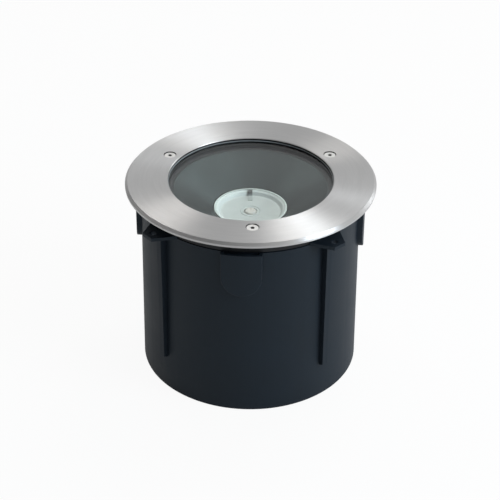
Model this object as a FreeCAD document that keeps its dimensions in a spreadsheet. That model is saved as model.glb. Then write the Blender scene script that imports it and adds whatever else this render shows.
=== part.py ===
"""In ground well light: a recessed lamp in a round pot, set in a moulded ground sleeve.

Millimetres. Z is up. The origin is at the middle of the sleeve's foot, and the faceplate's top
is at overall_height. The front screw of the faceplate is on the -Y side.
"""
import FreeCAD, Part
import math
import os
import re

import Sketcher

Vector = FreeCAD.Vector

# ---------------------------------------------------------------------------------------------
# Driving sizes. Each row is a name, a value and what it sets.
# ---------------------------------------------------------------------------------------------
SIZES = [
    ("overall_height", 212.0, "foot of the sleeve to the top of the faceplate"),
    # faceplate
    ("plate_opening_radius", 85.8, "clear opening of the faceplate"),
    ("plate_thickness", 5.0, "faceplate"),
    ("plate_bevel", 2.5, "bevel of the outer top edge"),
    ("plate_inner_bevel", 0.7, "bevel of the opening's top edge"),
    ("plate_low_bevel", 0.5, "bevel of the outer lower edge"),
    ("plate_recess", 2.5, "recess under the faceplate that takes the gasket's top"),
    ("plate_overhang", 17.0, "faceplate beyond the housing collar"),
    # faceplate screws and their inserts
    ("screw_head_radius", 6.0, "M6 countersunk head"),
    ("screw_radius", 2.95, "M6 shank"),
    ("screw_length", 16.0, "overall length of the screw"),
    ("screw_recess", 0.8, "head below the plate's top"),
    ("screw_tip_bevel", 0.6, "end of a screw"),
    ("screw_socket_flats", 4.0, "hexagon socket across flats"),
    ("screw_socket_depth", 2.5, "hexagon socket"),
    ("plate_hole_play", 0.35, "round the shank in the faceplate"),
    ("thread_play", 0.05, "round a screw in its thread"),
    ("insert_wall", 1.2, "wall of the threaded insert"),
    ("insert_length", 12.5, "threaded insert"),
    ("insert_margin", 2.5, "metal between the glass seat and an insert"),
    ("tip_hole_depth", 5.0, "hole for the screw's tip below an insert"),
    # glass and gasket
    ("glass_lap", 4.5, "glass under the faceplate"),
    ("glass_thickness", 8.0, "toughened glass"),
    ("glass_bevel", 0.6, "ground edge of the glass"),
    ("gasket_wall", 1.0, "gasket round the glass edge"),
    ("gasket_top_lip", 0.8, "gasket over the glass"),
    ("gasket_low_lip", 1.2, "gasket under the glass"),
    ("gasket_show", 0.8, "gasket lip inside the opening"),
    ("gasket_fit", 0.2, "round the gasket in its seat"),
    ("glass_seat_width", 5.3, "ledge that carries the glass"),
    # housing
    ("collar_height", 15.6, "collar between the faceplate and the sleeve"),
    ("collar_land", 14.8, "screw circle to the collar's edge"),
    ("collar_bevel", 0.8, "collar edges"),
    ("pot_wall", 4.5, "cast wall"),
    ("pot_floor", 4.0, "cast floor"),
    ("pot_draft", 3.0, "the pot narrows by this much to its floor"),
    ("pot_corner", 4.0, "round of the pot's foot"),
    ("boss_wall", 3.3, "metal round an insert, below the collar"),
    ("boss_drop", 6.5, "screw boss below the collar"),
    ("rib_thickness", 4.0, "rib under the collar"),
    ("rib_drop", 20.0, "rib under the collar"),
    ("rib_tip", 2.5, "height of a rib at its outer end"),
    ("rib_sleeve_gap", 3.0, "rib to the sleeve's ledge"),
    ("rib_count", 6, "ribs under the collar"),
    # cone and its carrier
    ("carrier_play", 0.3, "round the carrier in the pot, and round the cone in the carrier"),
    ("carrier_web", 4.9, "carrier wall"),
    ("carrier_height", 8.0, "carrier"),
    ("carrier_drop", 2.5, "carrier and cone below the glass's ledge"),
    ("carrier_toe", 3.8, "carrier foot inward of its wall"),
    ("carrier_ledge", 2.5, "ledge of the pot under the carrier"),
    ("cone_sheet", 1.2, "cone sheet"),
    ("cone_rim_height", 1.0, "upright rim of the cone"),
    ("cone_depth", 24.0, "cone from its rim to its hole"),
    ("cone_hole_gap", 1.4, "round the lamp in the cone's hole"),
    # lamp head
    ("bezel_radius", 38.2, "bright rim of the lamp"),
    ("bezel_height", 4.4, "bezel ring"),
    ("bezel_lip", 1.7, "bezel over the bowl"),
    ("bezel_lip_thickness", 0.8, "bezel over the bowl"),
    ("bezel_wall", 1.0, "bezel outside the cup"),
    ("cup_wall", 1.6, "wall of the heat sink cup"),
    ("board_drop", 9.0, "board seat below the bezel's top"),
    ("axis_drop", 14.0, "tilt axis below the bezel's top"),
    ("head_drop", 42.0, "heat sink below the tilt axis"),
    ("fin_radius", 32.0, "finned part of the heat sink"),
    ("fin_gap", 4.0, "between the fins"),
    ("fin_thickness", 2.4, "fins"),
    ("fin_bridge", 5.0, "solid metal between the board and the fins"),
    ("fin_slots", 9, "slots between the fins"),
    ("lug_radius", 7.0, "round lugs that carry the tilt screws"),
    ("lug_margin", 1.0, "cup below a lug"),
    ("lug_reach", 6.1, "lug beyond the cup"),
    ("lug_root", 1.0, "lug inside the cup's wall"),
    ("pad_thickness", 0.5, "thermal pad"),
    ("board_width", 24.0, "square board"),
    ("board_thickness", 1.4, "square board"),
    ("dome_radius", 6.4, "light emitting dome"),
    ("dome_height", 2.8, "light emitting dome"),
    ("dome_round", 2.2, "rounded edge of the dome"),
    ("holder_wall", 3.6, "ring round the board"),
    ("holder_rise", 0.4, "ring above the board"),
    ("holder_play", 0.4, "round the board's corners"),
    ("bowl_play", 0.2, "round the bowl in the cup"),
    ("bowl_wall", 1.2, "bowl"),
    ("bowl_slant", 2.4, "the bowl's wall leans in by this much"),
    ("bowl_ring_radius", 10.2, "raised ring round the dome"),
    ("bowl_ring_height", 0.6, "raised ring round the dome"),
    ("bowl_corner", 1.5, "round between the bowl's floor and wall"),
    ("dome_play", 0.8, "round the dome in the bowl"),
    ("clip_width", 5.0, "spring clip"),
    ("clip_thickness", 0.7, "spring clip"),
    ("clip_foot", 9.0, "spring clip along the bowl's floor"),
    ("clip_gap", 0.9, "spring clip to the bowl's wall"),
    ("clip_hook", 2.0, "top of the clip, bent over the bowl's rim"),
    ("clip_rise", 0.6, "top of the clip below the bezel's top"),
    # yoke and pan pivot
    ("yoke_thickness", 2.5, "yoke sheet"),
    ("yoke_base_width", 28.0, "yoke at its base"),
    ("yoke_arm_radius", 7.5, "round end of an arm"),
    ("yoke_shoulder", 8.0, "full width of an arm above the base"),
    ("yoke_bend", 2.0, "inner bend radius"),
    ("tilt_washer_thickness", 1.5, "between a lug and an arm"),
    ("tilt_play", 0.2, "between a washer and an arm"),
    ("tilt_screw_radius", 3.0, "shoulder in the arm"),
    ("tilt_thread_radius", 2.5, "thread in the lug"),
    ("tilt_thread_length", 6.0, "thread in the lug"),
    ("tilt_head_radius", 5.2, "screw head"),
    ("tilt_head_height", 3.0, "screw head"),
    ("tilt_socket_flats", 3.0, "hexagon socket"),
    ("tilt_socket_depth", 1.8, "hexagon socket"),
    ("turn_play", 0.3, "round a turning shaft"),
    ("swing_gap", 1.2, "heat sink's swing to the yoke's base"),
    ("face_play", 0.1, "between faces that slide"),
    ("pivot_radius", 6.0, "hollow pivot bolt"),
    ("pivot_bore_radius", 3.6, "way for the leads"),
    ("pivot_head_flats", 17.0, "bolt head"),
    ("pivot_head_height", 3.0, "bolt head"),
    ("pivot_nut_flats", 18.0, "nut"),
    ("pivot_nut_height", 4.2, "nut"),
    ("pivot_tip", 1.0, "bolt beyond the nut"),
    ("pivot_washer_radius", 11.0, "both washers"),
    ("lower_washer_thickness", 1.5, "friction washer"),
    ("upper_washer_thickness", 1.0, "washer under the nut"),
    # deck
    ("deck_thickness", 2.0, "deck sheet"),
    ("deck_gap", 3.5, "round the deck in the pot"),
    ("post_inset", 8.0, "middle of a post inside the deck's edge"),
    ("post_radius", 6.0, "deck posts"),
    ("bay_height", 28.0, "floor to the deck"),
    ("deck_screw_radius", 2.0, "M4 screws"),
    ("deck_screw_head_radius", 3.8, "M4 screws"),
    ("deck_screw_head_height", 2.4, "M4 screws"),
    ("deck_screw_length", 10.0, "below the head"),
    ("hole_play", 0.3, "round a screw in a plain hole"),
    ("hole_spare", 0.5, "blind hole beyond its screw"),
    # driver
    ("driver_length", 84.0, "driver case along X"),
    ("driver_width", 42.0, "driver case along Y"),
    ("driver_height", 21.0, "driver case"),
    ("driver_offset", 33.0, "driver's middle in front of the pivot"),
    ("driver_tab", 11.0, "tab beyond each end"),
    ("driver_tab_thickness", 2.5, "tab"),
    ("driver_tab_width", 16.0, "tab"),
    ("driver_pad_radius", 5.5, "cast pad under a tab"),
    ("driver_pad_height", 3.0, "cast pad under a tab"),
    ("driver_screw_length", 6.5, "below the head"),
    # terminals and earth
    ("terminal_length", 46.0, "terminal block along X"),
    ("terminal_width", 17.0, "terminal block along Y"),
    ("terminal_height", 16.0, "terminal block"),
    ("terminal_offset", 57.0, "terminal block behind the pivot"),
    ("terminal_pitch", 14.0, "poles"),
    ("terminal_hole_radius", 2.2, "wire holes"),
    ("terminal_hole_height", 6.0, "wire holes above the floor"),
    ("terminal_screw_radius", 2.6, "screw heads"),
    ("terminal_screw_height", 4.0, "screws"),
    ("terminal_screw_sink", 1.0, "screws below the block's top"),
    ("terminal_screw_spread", 4.5, "screws each side of the block's middle"),
    ("terminal_slot_length", 3.6, "slot of a screw"),
    ("terminal_slot_width", 0.9, "slot of a screw"),
    ("earth_x", 60.0, "earth boss, left of the pivot"),
    ("earth_y", 3.0, "earth boss, behind the pivot"),
    ("earth_boss_radius", 6.0, "earth boss"),
    ("earth_boss_height", 6.0, "earth boss"),
    ("earth_screw_radius", 2.5, "M5 screw"),
    ("earth_screw_head_radius", 4.5, "M5 screw"),
    ("earth_screw_head_height", 3.2, "M5 screw"),
    ("earth_screw_length", 8.0, "below the head"),
    ("earth_tag_thickness", 0.8, "ring tag"),
    ("earth_tag_tail", 14.0, "tail of the ring tag"),
    ("earth_tag_width", 4.0, "tail of the ring tag"),
    # cable glands and breather
    ("gland_x", 30.0, "each gland beside the middle"),
    ("gland_y", 28.0, "glands behind the middle"),
    ("gland_pad_height", 2.0, "cast pad under the floor"),
    ("gland_pad_radius", 16.0, "cast pad under the floor"),
    ("gland_thread_radius", 10.0, "M20 thread"),
    ("gland_thread_play", 0.2, "round the thread in the floor"),
    ("gland_thread_length", 12.5, "M20 thread above the pad's face"),
    ("gland_flats", 24.0, "hexagons across flats"),
    ("gland_hex_height", 5.0, "hexagon of the body"),
    ("gland_washer_thickness", 1.0, "flat seal under the hexagon"),
    ("gland_neck_radius", 9.2, "outer thread for the cap nut"),
    ("gland_neck_length", 8.0, "outer thread for the cap nut"),
    ("gland_bore_radius", 6.8, "body's bore"),
    ("gland_locknut_height", 4.5, "lock nut on the floor"),
    ("gland_seal_wall", 2.4, "rubber seal"),
    ("gland_seal_flange", 1.5, "seal's flange under the body"),
    ("gland_seal_length", 6.0, "seal inside the body"),
    ("gland_cap_taper", 3.0, "tapered end of the cap nut"),
    ("gland_cap_hole_play", 1.2, "round the seal's bore in the cap nut"),
    ("gland_cap_end", 2.0, "end wall of the cap nut"),
    ("gland_cap_gap", 1.0, "cap nut to the body's hexagon"),
    ("breather_radius", 6.0, "M12 thread"),
    ("breather_length", 8.0, "thread above the pad's face"),
    ("breather_flats", 16.0, "head"),
    ("breather_head_height", 6.0, "head"),
    ("breather_pad_radius", 10.0, "cast pad under the floor"),
    ("breather_slot_width", 2.0, "cross slots of the head"),
    ("breather_slot_depth", 2.5, "cross slots of the head"),
    # sleeve
    ("sleeve_turn", -5.45, "sleeve turned about Z against the lamp, degrees"),
    ("sleeve_rim_step", 0.8, "sleeve's rim beyond the collar"),
    ("sleeve_flare", 1.6, "sleeve's foot beyond its rim"),
    ("sleeve_wall", 3.0, "moulded wall"),
    ("sleeve_ledge_height", 4.0, "ledge that carries the collar"),
    ("sleeve_ledge_gap", 2.3, "round the screw bosses inside the ledge"),
    ("sleeve_lip_width", 9.5, "inward lip of the foot"),
    ("sleeve_lip_height", 3.0, "inward lip of the foot"),
    ("pocket_half_width", 20.5, "U pocket outside"),
    ("pocket_stand_out", 5.8, "pocket beyond the rim"),
    ("end_pocket_drop", 47.6, "rim to the lowest point of the front and back pockets"),
    ("side_pocket_drop", 52.2, "rim to the lowest point of the left and right pockets"),
    ("pocket_round", 0.8, "rounded outer edge of a pocket"),
    ("fin_count", 4, "fins and ears, halfway between the pockets"),
    ("fin_sheet", 6.4, "thickness of a fin"),
    ("fin_top_reach", 6.8, "fin beyond the rim at its top"),
    ("fin_low_reach", 6.2, "fin beyond the rim at its end"),
    ("fin_end_height", 41.5, "lower end of a fin above the foot"),
    ("fin_end_slant", 3.0, "fall of a fin's end towards the wall"),
    ("ear_rise", 3.0, "ear above the rim"),
    ("ear_thickness", 3.5, "ear"),
    ("ear_reach", 21.0, "ear beyond the rim"),
    ("ear_root_half_width", 19.8, "ear at the wall"),
    ("ear_end_half_width", 7.1, "ear at its end"),
    ("ear_hole_radius", 3.2, "fixing hole"),
    ("ear_hole_reach", 13.4, "fixing hole beyond the rim"),
    ("ear_collar_gap", 0.8, "round the collar inside the ears"),
    # construction
    ("cut_margin", 5.0, "how far a cut runs past what it cuts"),
]

# ---------------------------------------------------------------------------------------------
# Sizes and places that follow from the driving ones.
# ---------------------------------------------------------------------------------------------
DERIVED = {
    # heights, from the top down
    "collar_top": "overall_height - plate_thickness",
    "gasket_top": "collar_top + plate_recess",
    "glass_top": "gasket_top - gasket_top_lip",
    "glass_low": "glass_top - glass_thickness",
    "glass_seat": "glass_low - gasket_low_lip",
    "carrier_top": "glass_seat - carrier_drop",
    "cone_crease": "carrier_top - cone_rim_height",
    "lamp_face": "cone_crease - cone_depth",
    "tilt_axis": "lamp_face - axis_drop",
    "head_low": "tilt_axis - head_drop",
    "yoke_base_top": "tilt_axis - sqrt(head_drop * head_drop + fin_radius * fin_radius) - swing_gap",
    "yoke_base_low": "yoke_base_top - yoke_thickness",
    "deck_top": "yoke_base_low - face_play - lower_washer_thickness",
    "deck_low": "deck_top - deck_thickness",
    "floor_top": "deck_low - bay_height",
    "pot_low": "floor_top - pot_floor",
    "gland_face": "pot_low - gland_pad_height",
    "sleeve_top": "collar_top - collar_height",
    # radii, from the opening outwards
    "glass_radius": "plate_opening_radius + glass_lap",
    "gasket_radius": "glass_radius + gasket_wall",
    "glass_recess_radius": "gasket_radius + gasket_fit",
    "insert_bore": "screw_radius + thread_play",
    "insert_radius": "insert_bore + insert_wall",
    "screw_circle": "glass_recess_radius + insert_margin + insert_radius",
    "collar_radius": "screw_circle + collar_land",
    "plate_radius": "collar_radius + plate_overhang",
    "sink_radius": "screw_head_radius + screw_recess",
    "plate_hole_radius": "screw_radius + plate_hole_play",
    "boss_radius": "insert_radius + boss_wall",
    # radii, from the glass seat inwards
    "shelf_radius": "glass_recess_radius - glass_seat_width",
    "carrier_radius": "shelf_radius - carrier_play",
    "carrier_bore": "carrier_radius - carrier_web",
    "cone_rim_outer": "carrier_bore - carrier_play",
    "cone_rim_radius": "cone_rim_outer - cone_sheet",
    "pot_inner_top": "shelf_radius - carrier_ledge",
    "pot_inner_low": "pot_inner_top - pot_draft",
    "pot_outer_top": "shelf_radius + pot_wall",
    "pot_outer_low": "pot_inner_low + pot_wall",
    "pot_skin": "shelf_radius + pot_wall / 4",
    "boss_low": "sleeve_top - boss_drop",
    "boss_root": "boss_drop + collar_height / 4",
    "carrier_low": "carrier_top - carrier_height",
    "carrier_toe_radius": "carrier_bore - carrier_toe",
    "cone_hole_radius": "bezel_radius + cone_hole_gap",
    "cone_slope": "cone_depth / (cone_rim_radius - cone_hole_radius)",
    "cone_sheet_drop": "cone_sheet * sqrt(1 + cone_slope * cone_slope)",
    "cone_under_hole": "lamp_face - cone_sheet_drop",
    "cone_under_toe": "cone_under_hole + (carrier_toe_radius - cone_hole_radius) * cone_slope",
    "cone_under_rim": "cone_under_hole + (cone_rim_outer - cone_hole_radius) * cone_slope",
    "cone_under_bore": "cone_under_hole + (carrier_bore - cone_hole_radius) * cone_slope",
    # lamp head
    "cup_radius": "bezel_radius - bezel_wall",
    "cup_bore": "cup_radius - cup_wall",
    "cup_top": "lamp_face - bezel_lip_thickness - bowl_wall",
    "cup_low": "tilt_axis - lug_radius - lug_margin",
    "board_seat": "lamp_face - board_drop",
    "board_low": "board_seat + pad_thickness",
    "board_top": "board_low + board_thickness",
    "fin_top": "board_seat - fin_bridge",
    "fin_pitch": "fin_gap + fin_thickness",
    "lug_face": "cup_radius + lug_reach",
    "holder_bore": "board_width / sqrt(2) + holder_play",
    "holder_radius": "holder_bore + holder_wall",
    "holder_top": "board_top + holder_rise",
    "bowl_flange_radius": "cup_radius - bowl_play",
    "bowl_radius": "cup_bore - bowl_play",
    "bowl_low_radius": "bowl_radius - bowl_slant",
    "bowl_top": "lamp_face - bezel_lip_thickness",
    "bowl_floor": "holder_top + bowl_wall",
    "bowl_hole": "dome_radius + dome_play",
    "clip_back": "bowl_low_radius - bowl_wall - clip_gap",
    "clip_top": "clip_back + bowl_slant",
    # yoke
    "arm_face": "lug_face + tilt_washer_thickness + tilt_play",
    "arm_outer": "arm_face + yoke_thickness",
    "tilt_hole": "tilt_screw_radius + turn_play",
    "yoke_hole": "pivot_radius + turn_play",
    "upper_washer_low": "yoke_base_top + face_play",
    "nut_low": "upper_washer_low + upper_washer_thickness",
    "pivot_bolt_top": "nut_low + pivot_nut_height + pivot_tip",
    # deck, driver, terminals and earth
    "deck_radius": "pot_inner_low - deck_gap",
    "post_circle": "deck_radius - post_inset",
    "deck_screw_bore": "deck_screw_radius + thread_play",
    "driver_low": "floor_top + driver_pad_height",
    "driver_screw_x": "(driver_length + driver_tab) / 2",
    "terminal_top": "floor_top + terminal_height",
    "earth_boss_top": "floor_top + earth_boss_height",
    "earth_tag_top": "earth_boss_top + earth_tag_thickness",
    # glands, from the cast pad's face down
    "gland_hex_top": "gland_face - gland_washer_thickness",
    "gland_hex_low": "gland_hex_top - gland_hex_height",
    "gland_neck_low": "gland_hex_low - gland_neck_length",
    "gland_seal_low": "gland_neck_low - gland_seal_flange",
    "gland_seal_bore": "gland_bore_radius - gland_seal_wall",
    "gland_cap_top": "gland_hex_low - gland_cap_gap",
    "gland_cap_low": "gland_seal_low - gland_cap_end",
    "gland_cap_hole": "gland_seal_bore + gland_cap_hole_play",
    # sleeve
    "sleeve_rim": "collar_radius + sleeve_rim_step",
    "sleeve_foot": "sleeve_rim + sleeve_flare",
    "sleeve_root": "sleeve_rim - sleeve_wall / 2",
    "sleeve_bore_top": "sleeve_rim - sleeve_wall",
    "ledge_radius": "screw_circle + boss_radius + sleeve_ledge_gap",
    "ledge_low": "sleeve_top - sleeve_ledge_height",
    "pocket_radius": "sleeve_rim + pocket_stand_out",
    "pocket_inner_radius": "pocket_radius - sleeve_wall",
    "sleeve_hollow_start": "sleeve_bore_top - sleeve_wall / 2",
    "ledge_outer": "sleeve_root + sleeve_wall / 6",
    "end_pocket_centre": "sleeve_top - end_pocket_drop + pocket_half_width",
    "side_pocket_centre": "sleeve_top - side_pocket_drop + pocket_half_width",
    "ear_top": "sleeve_top + ear_rise",
    "ear_low": "ear_top - ear_thickness",
}

SCREW_COUNT = 3
PAIR = 2
SIDES = (-1, 1)
POLES = (-1, 0, 1)
NEAR = 0.02
AXIS_LINE = 10

doc = FreeCAD.newDocument("WellLight")
sheet = doc.addObject("Spreadsheet::Sheet", "Sizes")
for row, (name, value, note) in enumerate(SIZES, start=1):
    sheet.set("A%d" % row, name)
    sheet.set("B%d" % row, str(value))
    sheet.setAlias("B%d" % row, name)
    sheet.set("C%d" % row, note)
doc.recompute()

DRIVING = {name for name, value, note in SIZES}
WORD = re.compile(r"[a-z_]+[a-z_0-9]*")


def bind(text):
    """The expression with every name put in terms of the sheet's cells."""
    def put(match):
        word = match.group(0)
        if word in DRIVING:
            return "Sizes." + word
        if word in DERIVED:
            return "(" + bind(DERIVED[word]) + ")"
        return word
    return WORD.sub(put, str(text))


def value_of(text):
    """The number that an expression gives now."""
    result = sheet.evalExpression(bind(text))
    return float(getattr(result, "Value", result))


# ---------------------------------------------------------------------------------------------
# Sketches and features, each bound to the sheet.
# ---------------------------------------------------------------------------------------------
def new_body(name, turn=None):
    """An empty body, turned about Z if the piece is."""
    body = doc.addObject("PartDesign::Body", name)
    body.Label = name
    if turn is not None:
        body.Placement = FreeCAD.Placement(Vector(0, 0, 0), Vector(0, 0, 1), 0)
        body.setExpression("Placement.Rotation.Angle", bind(turn))
    return body


def datum(body, role):
    """One of the body's own origin planes or axes."""
    for feature in body.Origin.OriginFeatures:
        if feature.Role == role:
            return feature
    raise RuntimeError("no origin feature " + role)


def new_sketch(body, name, role, offset="0"):
    """A sketch on one of the body's own planes, moved along the plane's normal by offset."""
    sketch = body.newObject("Sketcher::SketchObject", body.Name + "_" + name)
    sketch.AttachmentSupport = [(datum(body, role), "")]
    sketch.MapMode = "FlatFace"
    if offset != "0":
        sketch.setExpression("AttachmentOffset.Base.z", bind(offset))
    return sketch


def constrain(sketch, kind, where, text):
    """A dimension whose value follows the sheet."""
    index = sketch.addConstraint(Sketcher.Constraint(kind, *where, value_of(text)))
    sketch.setExpression("Constraints[%d]" % index, bind(text))


def draw_polygon(sketch, points):
    """A closed outline of straight lines through points given as pairs of expressions."""
    places = [Vector(value_of(x), value_of(y), 0) for x, y in points]
    first = sketch.GeometryCount
    for start, end in zip(places, places[1:] + places[:1]):
        sketch.addGeometry(Part.LineSegment(start, end))
    for step, (x, y) in enumerate(points):
        following = first + (step + 1) % len(points)
        sketch.addConstraint(Sketcher.Constraint("Coincident", first + step, 2, following, 1))
        constrain(sketch, "DistanceX", (first + step, 1), x)
        constrain(sketch, "DistanceY", (first + step, 1), y)


def draw_box(sketch, x_low, y_low, x_high, y_high):
    """A closed rectangle."""
    draw_polygon(sketch, [(x_low, y_low), (x_high, y_low), (x_high, y_high), (x_low, y_high)])


def draw_circle(sketch, x, y, radius):
    """A full circle."""
    centre = Vector(value_of(x), value_of(y), 0)
    index = sketch.addGeometry(Part.Circle(centre, Vector(0, 0, 1), value_of(radius)))
    constrain(sketch, "DistanceX", (index, 3), x)
    constrain(sketch, "DistanceY", (index, 3), y)
    constrain(sketch, "Radius", (index,), radius)


def draw_hexagon(sketch, x, y, flats):
    """A hexagon given by its width across flats."""
    corner = "((%s) / sqrt(3))" % flats
    points = []
    for step in range(6):
        angle = 60 * step
        points.append(("(%s) + %s * cos(%d deg)" % (x, corner, angle),
                       "(%s) + %s * sin(%d deg)" % (y, corner, angle)))
    draw_polygon(sketch, points)


def draw_axis(sketch, x):
    """A construction line parallel to the sketch's upright axis."""
    place = value_of(x)
    line = Part.LineSegment(Vector(place, 0, 0), Vector(place, AXIS_LINE, 0))
    index = sketch.addGeometry(line, True)
    constrain(sketch, "DistanceX", (index, 1), x)
    constrain(sketch, "DistanceX", (index, 2), x)
    constrain(sketch, "DistanceY", (index, 1), "0")
    constrain(sketch, "DistanceY", (index, 2), AXIS_LINE)


def settle(body, feature):
    """Recompute, and stop where the feature failed."""
    doc.recompute()
    if "Invalid" in feature.State or "Error" in feature.State:
        raise RuntimeError("%s failed" % feature.Name)
    if body.Shape.isNull() or not body.Shape.isValid():
        raise RuntimeError("%s left %s without a valid shape" % (feature.Name, body.Name))
    return feature


def turn_solid(body, name, points, role="XZ_Plane", offset="0", axis_x=None, cut=False):
    """Material turned about Z, or about a line parallel to Z at axis_x, added or cut away."""
    sketch = new_sketch(body, name + "_outline", role, offset)
    draw_polygon(sketch, points)
    kind = "PartDesign::Groove" if cut else "PartDesign::Revolution"
    before = body.Shape.Volume if cut else 0.0
    if axis_x is not None:
        draw_axis(sketch, axis_x)
    doc.recompute()
    feature = body.newObject(kind, body.Name + "_" + name)
    feature.Profile = sketch
    feature.ReferenceAxis = (sketch, ["V_Axis" if axis_x is None else "Axis0"])
    feature.Angle = 360
    settle(body, feature)
    if cut and body.Shape.Volume >= before:
        raise RuntimeError("%s cut nothing from %s" % (name, body.Name))
    return feature


def add_pad(body, name, sketch, length, reverse=False, both_ways=False):
    """Material added along the sketch's normal."""
    doc.recompute()
    feature = body.newObject("PartDesign::Pad", body.Name + "_" + name)
    feature.Profile = sketch
    feature.SideType = "Symmetric" if both_ways else "One side"
    feature.setExpression("Length", bind(length))
    feature.Reversed = reverse
    return settle(body, feature)


def cut_pocket(body, name, sketch, length, reverse=False, both_ways=False):
    """Material cut away against the sketch's normal."""
    doc.recompute()
    before = body.Shape.Volume
    feature = body.newObject("PartDesign::Pocket", body.Name + "_" + name)
    feature.Profile = sketch
    feature.SideType = "Symmetric" if both_ways else "One side"
    feature.setExpression("Length", bind(length))
    feature.Reversed = reverse
    settle(body, feature)
    if body.Shape.Volume >= before:
        raise RuntimeError("%s cut nothing from %s" % (name, body.Name))
    return feature


def copy_round(body, name, features, count):
    """The features repeated about Z."""
    pattern = body.newObject("PartDesign::PolarPattern", body.Name + "_" + name)
    pattern.Originals = features
    pattern.Axis = (datum(body, "Z_Axis"), [""])
    pattern.Angle = 360
    if str(count).isdigit():
        pattern.Occurrences = int(count)
    else:
        pattern.setExpression("Occurrences", bind(count))
    body.Tip = pattern
    return settle(body, pattern)


def copy_across(body, name, features, role="YZ_Plane"):
    """The features mirrored in one of the body's own planes."""
    mirror = body.newObject("PartDesign::Mirrored", body.Name + "_" + name)
    mirror.Originals = features
    mirror.MirrorPlane = (datum(body, role), [""])
    body.Tip = mirror
    return settle(body, mirror)


def edges_where(body, test):
    """The names of the body's edges whose every end and middle point passes the test."""
    shape = body.Tip.Shape
    names = []
    for number, edge in enumerate(shape.Edges, start=1):
        low, high = edge.ParameterRange
        points = [edge.valueAt(low), edge.valueAt((low + high) / 2), edge.valueAt(high)]
        if all(test(point) for point in points):
            names.append("Edge%d" % number)
    return names


def ring_edge(radius, height):
    """A test for points on a circle about Z."""
    wanted_radius = value_of(radius)
    wanted_height = value_of(height)

    def test(point):
        on_circle = abs(math.hypot(point.x, point.y) - wanted_radius) < NEAR
        return on_circle and abs(point.z - wanted_height) < NEAR
    return test


def dress(body, name, kind, size, test, keep=None):
    """A fillet or a chamfer on the edges that pass the tests of their points and of the whole."""
    names = [edge for edge in edges_where(body, test) if keep is None or keep(body, edge)]
    if not names:
        raise RuntimeError("no edge for %s on %s" % (name, body.Name))
    base = body.Tip
    feature = body.newObject("PartDesign::" + kind, body.Name + "_" + name)
    feature.Base = (base, names)
    feature.setExpression("Size" if kind == "Chamfer" else "Radius", bind(size))
    body.Tip = feature
    return settle(body, feature)


# ---------------------------------------------------------------------------------------------
# Installation sleeve
# ---------------------------------------------------------------------------------------------
def make_sleeve():
    """Moulded ring with a ledge, a foot lip, U pockets, fins and ears."""
    wall = new_body("sleeve_wall_ring")
    turn_solid(wall, "wall", [
        ("sleeve_foot - sleeve_lip_width - sleeve_wall", "0"),
        ("sleeve_foot", "0"),
        ("sleeve_rim", "sleeve_top"),
        ("ledge_radius", "sleeve_top"),
        ("ledge_radius", "ledge_low"),
        ("sleeve_bore_top", "ledge_low - (sleeve_bore_top - ledge_radius)"),
        ("sleeve_foot - sleeve_wall", "sleeve_lip_height"),
        ("sleeve_foot - sleeve_lip_width - sleeve_wall", "sleeve_lip_height"),
    ])
    dress(wall, "foot_edge", "Chamfer", "sleeve_wall / 4", ring_edge("sleeve_foot", "0"))

    end_pockets, end_hollows = make_pockets("end", "0 deg")
    side_pockets, side_hollows = make_pockets("side", "90 deg")

    fins = new_body("sleeve_fins", turn="180 deg / fin_count")
    side = new_sketch(fins, "side", "XZ_Plane")
    draw_polygon(side, [
        ("sleeve_root", "ear_low + ear_thickness / 2"),
        ("sleeve_rim + fin_top_reach", "ear_low + ear_thickness / 2"),
        ("sleeve_rim + fin_low_reach", "fin_end_height"),
        ("sleeve_root", "fin_end_height - fin_end_slant"),
    ])
    add_pad(fins, "fin", side, "fin_sheet", both_ways=True)
    plan = new_sketch(fins, "plan", "XY_Plane", "ear_low")
    draw_polygon(plan, [
        ("sleeve_root", "-ear_root_half_width"),
        ("sleeve_rim + ear_reach", "-ear_end_half_width"),
        ("sleeve_rim + ear_reach", "ear_end_half_width"),
        ("sleeve_root", "ear_root_half_width"),
    ])
    add_pad(fins, "ear", plan, "ear_thickness")
    hole = new_sketch(fins, "hole", "XY_Plane", "ear_top")
    draw_circle(hole, "sleeve_rim + ear_hole_reach", "0", "ear_hole_radius")
    cut_pocket(fins, "ear_hole", hole, "ear_thickness")
    copy_whole(fins, "fin_count")

    seat = new_body("sleeve_collar_room")
    turn_solid(seat, "room", [
        ("0", "sleeve_top"),
        ("collar_radius + ear_collar_gap", "sleeve_top"),
        ("collar_radius + ear_collar_gap", "ear_top + cut_margin"),
        ("0", "ear_top + cut_margin"),
    ])

    solid = doc.addObject("Part::MultiFuse", "sleeve_solid")
    solid.Shapes = [wall, end_pockets, side_pockets, fins]
    solid.Refine = True
    room = doc.addObject("Part::MultiFuse", "sleeve_room")
    room.Shapes = [end_hollows, side_hollows, seat]
    sleeve = doc.addObject("Part::Cut", "installation_sleeve")
    sleeve.Base = solid
    sleeve.Tool = room
    sleeve.Refine = True
    sleeve.Label = "installation_sleeve"
    sleeve.setExpression("Placement.Rotation.Angle", bind("sleeve_turn * 1 deg"))
    return sleeve


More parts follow.
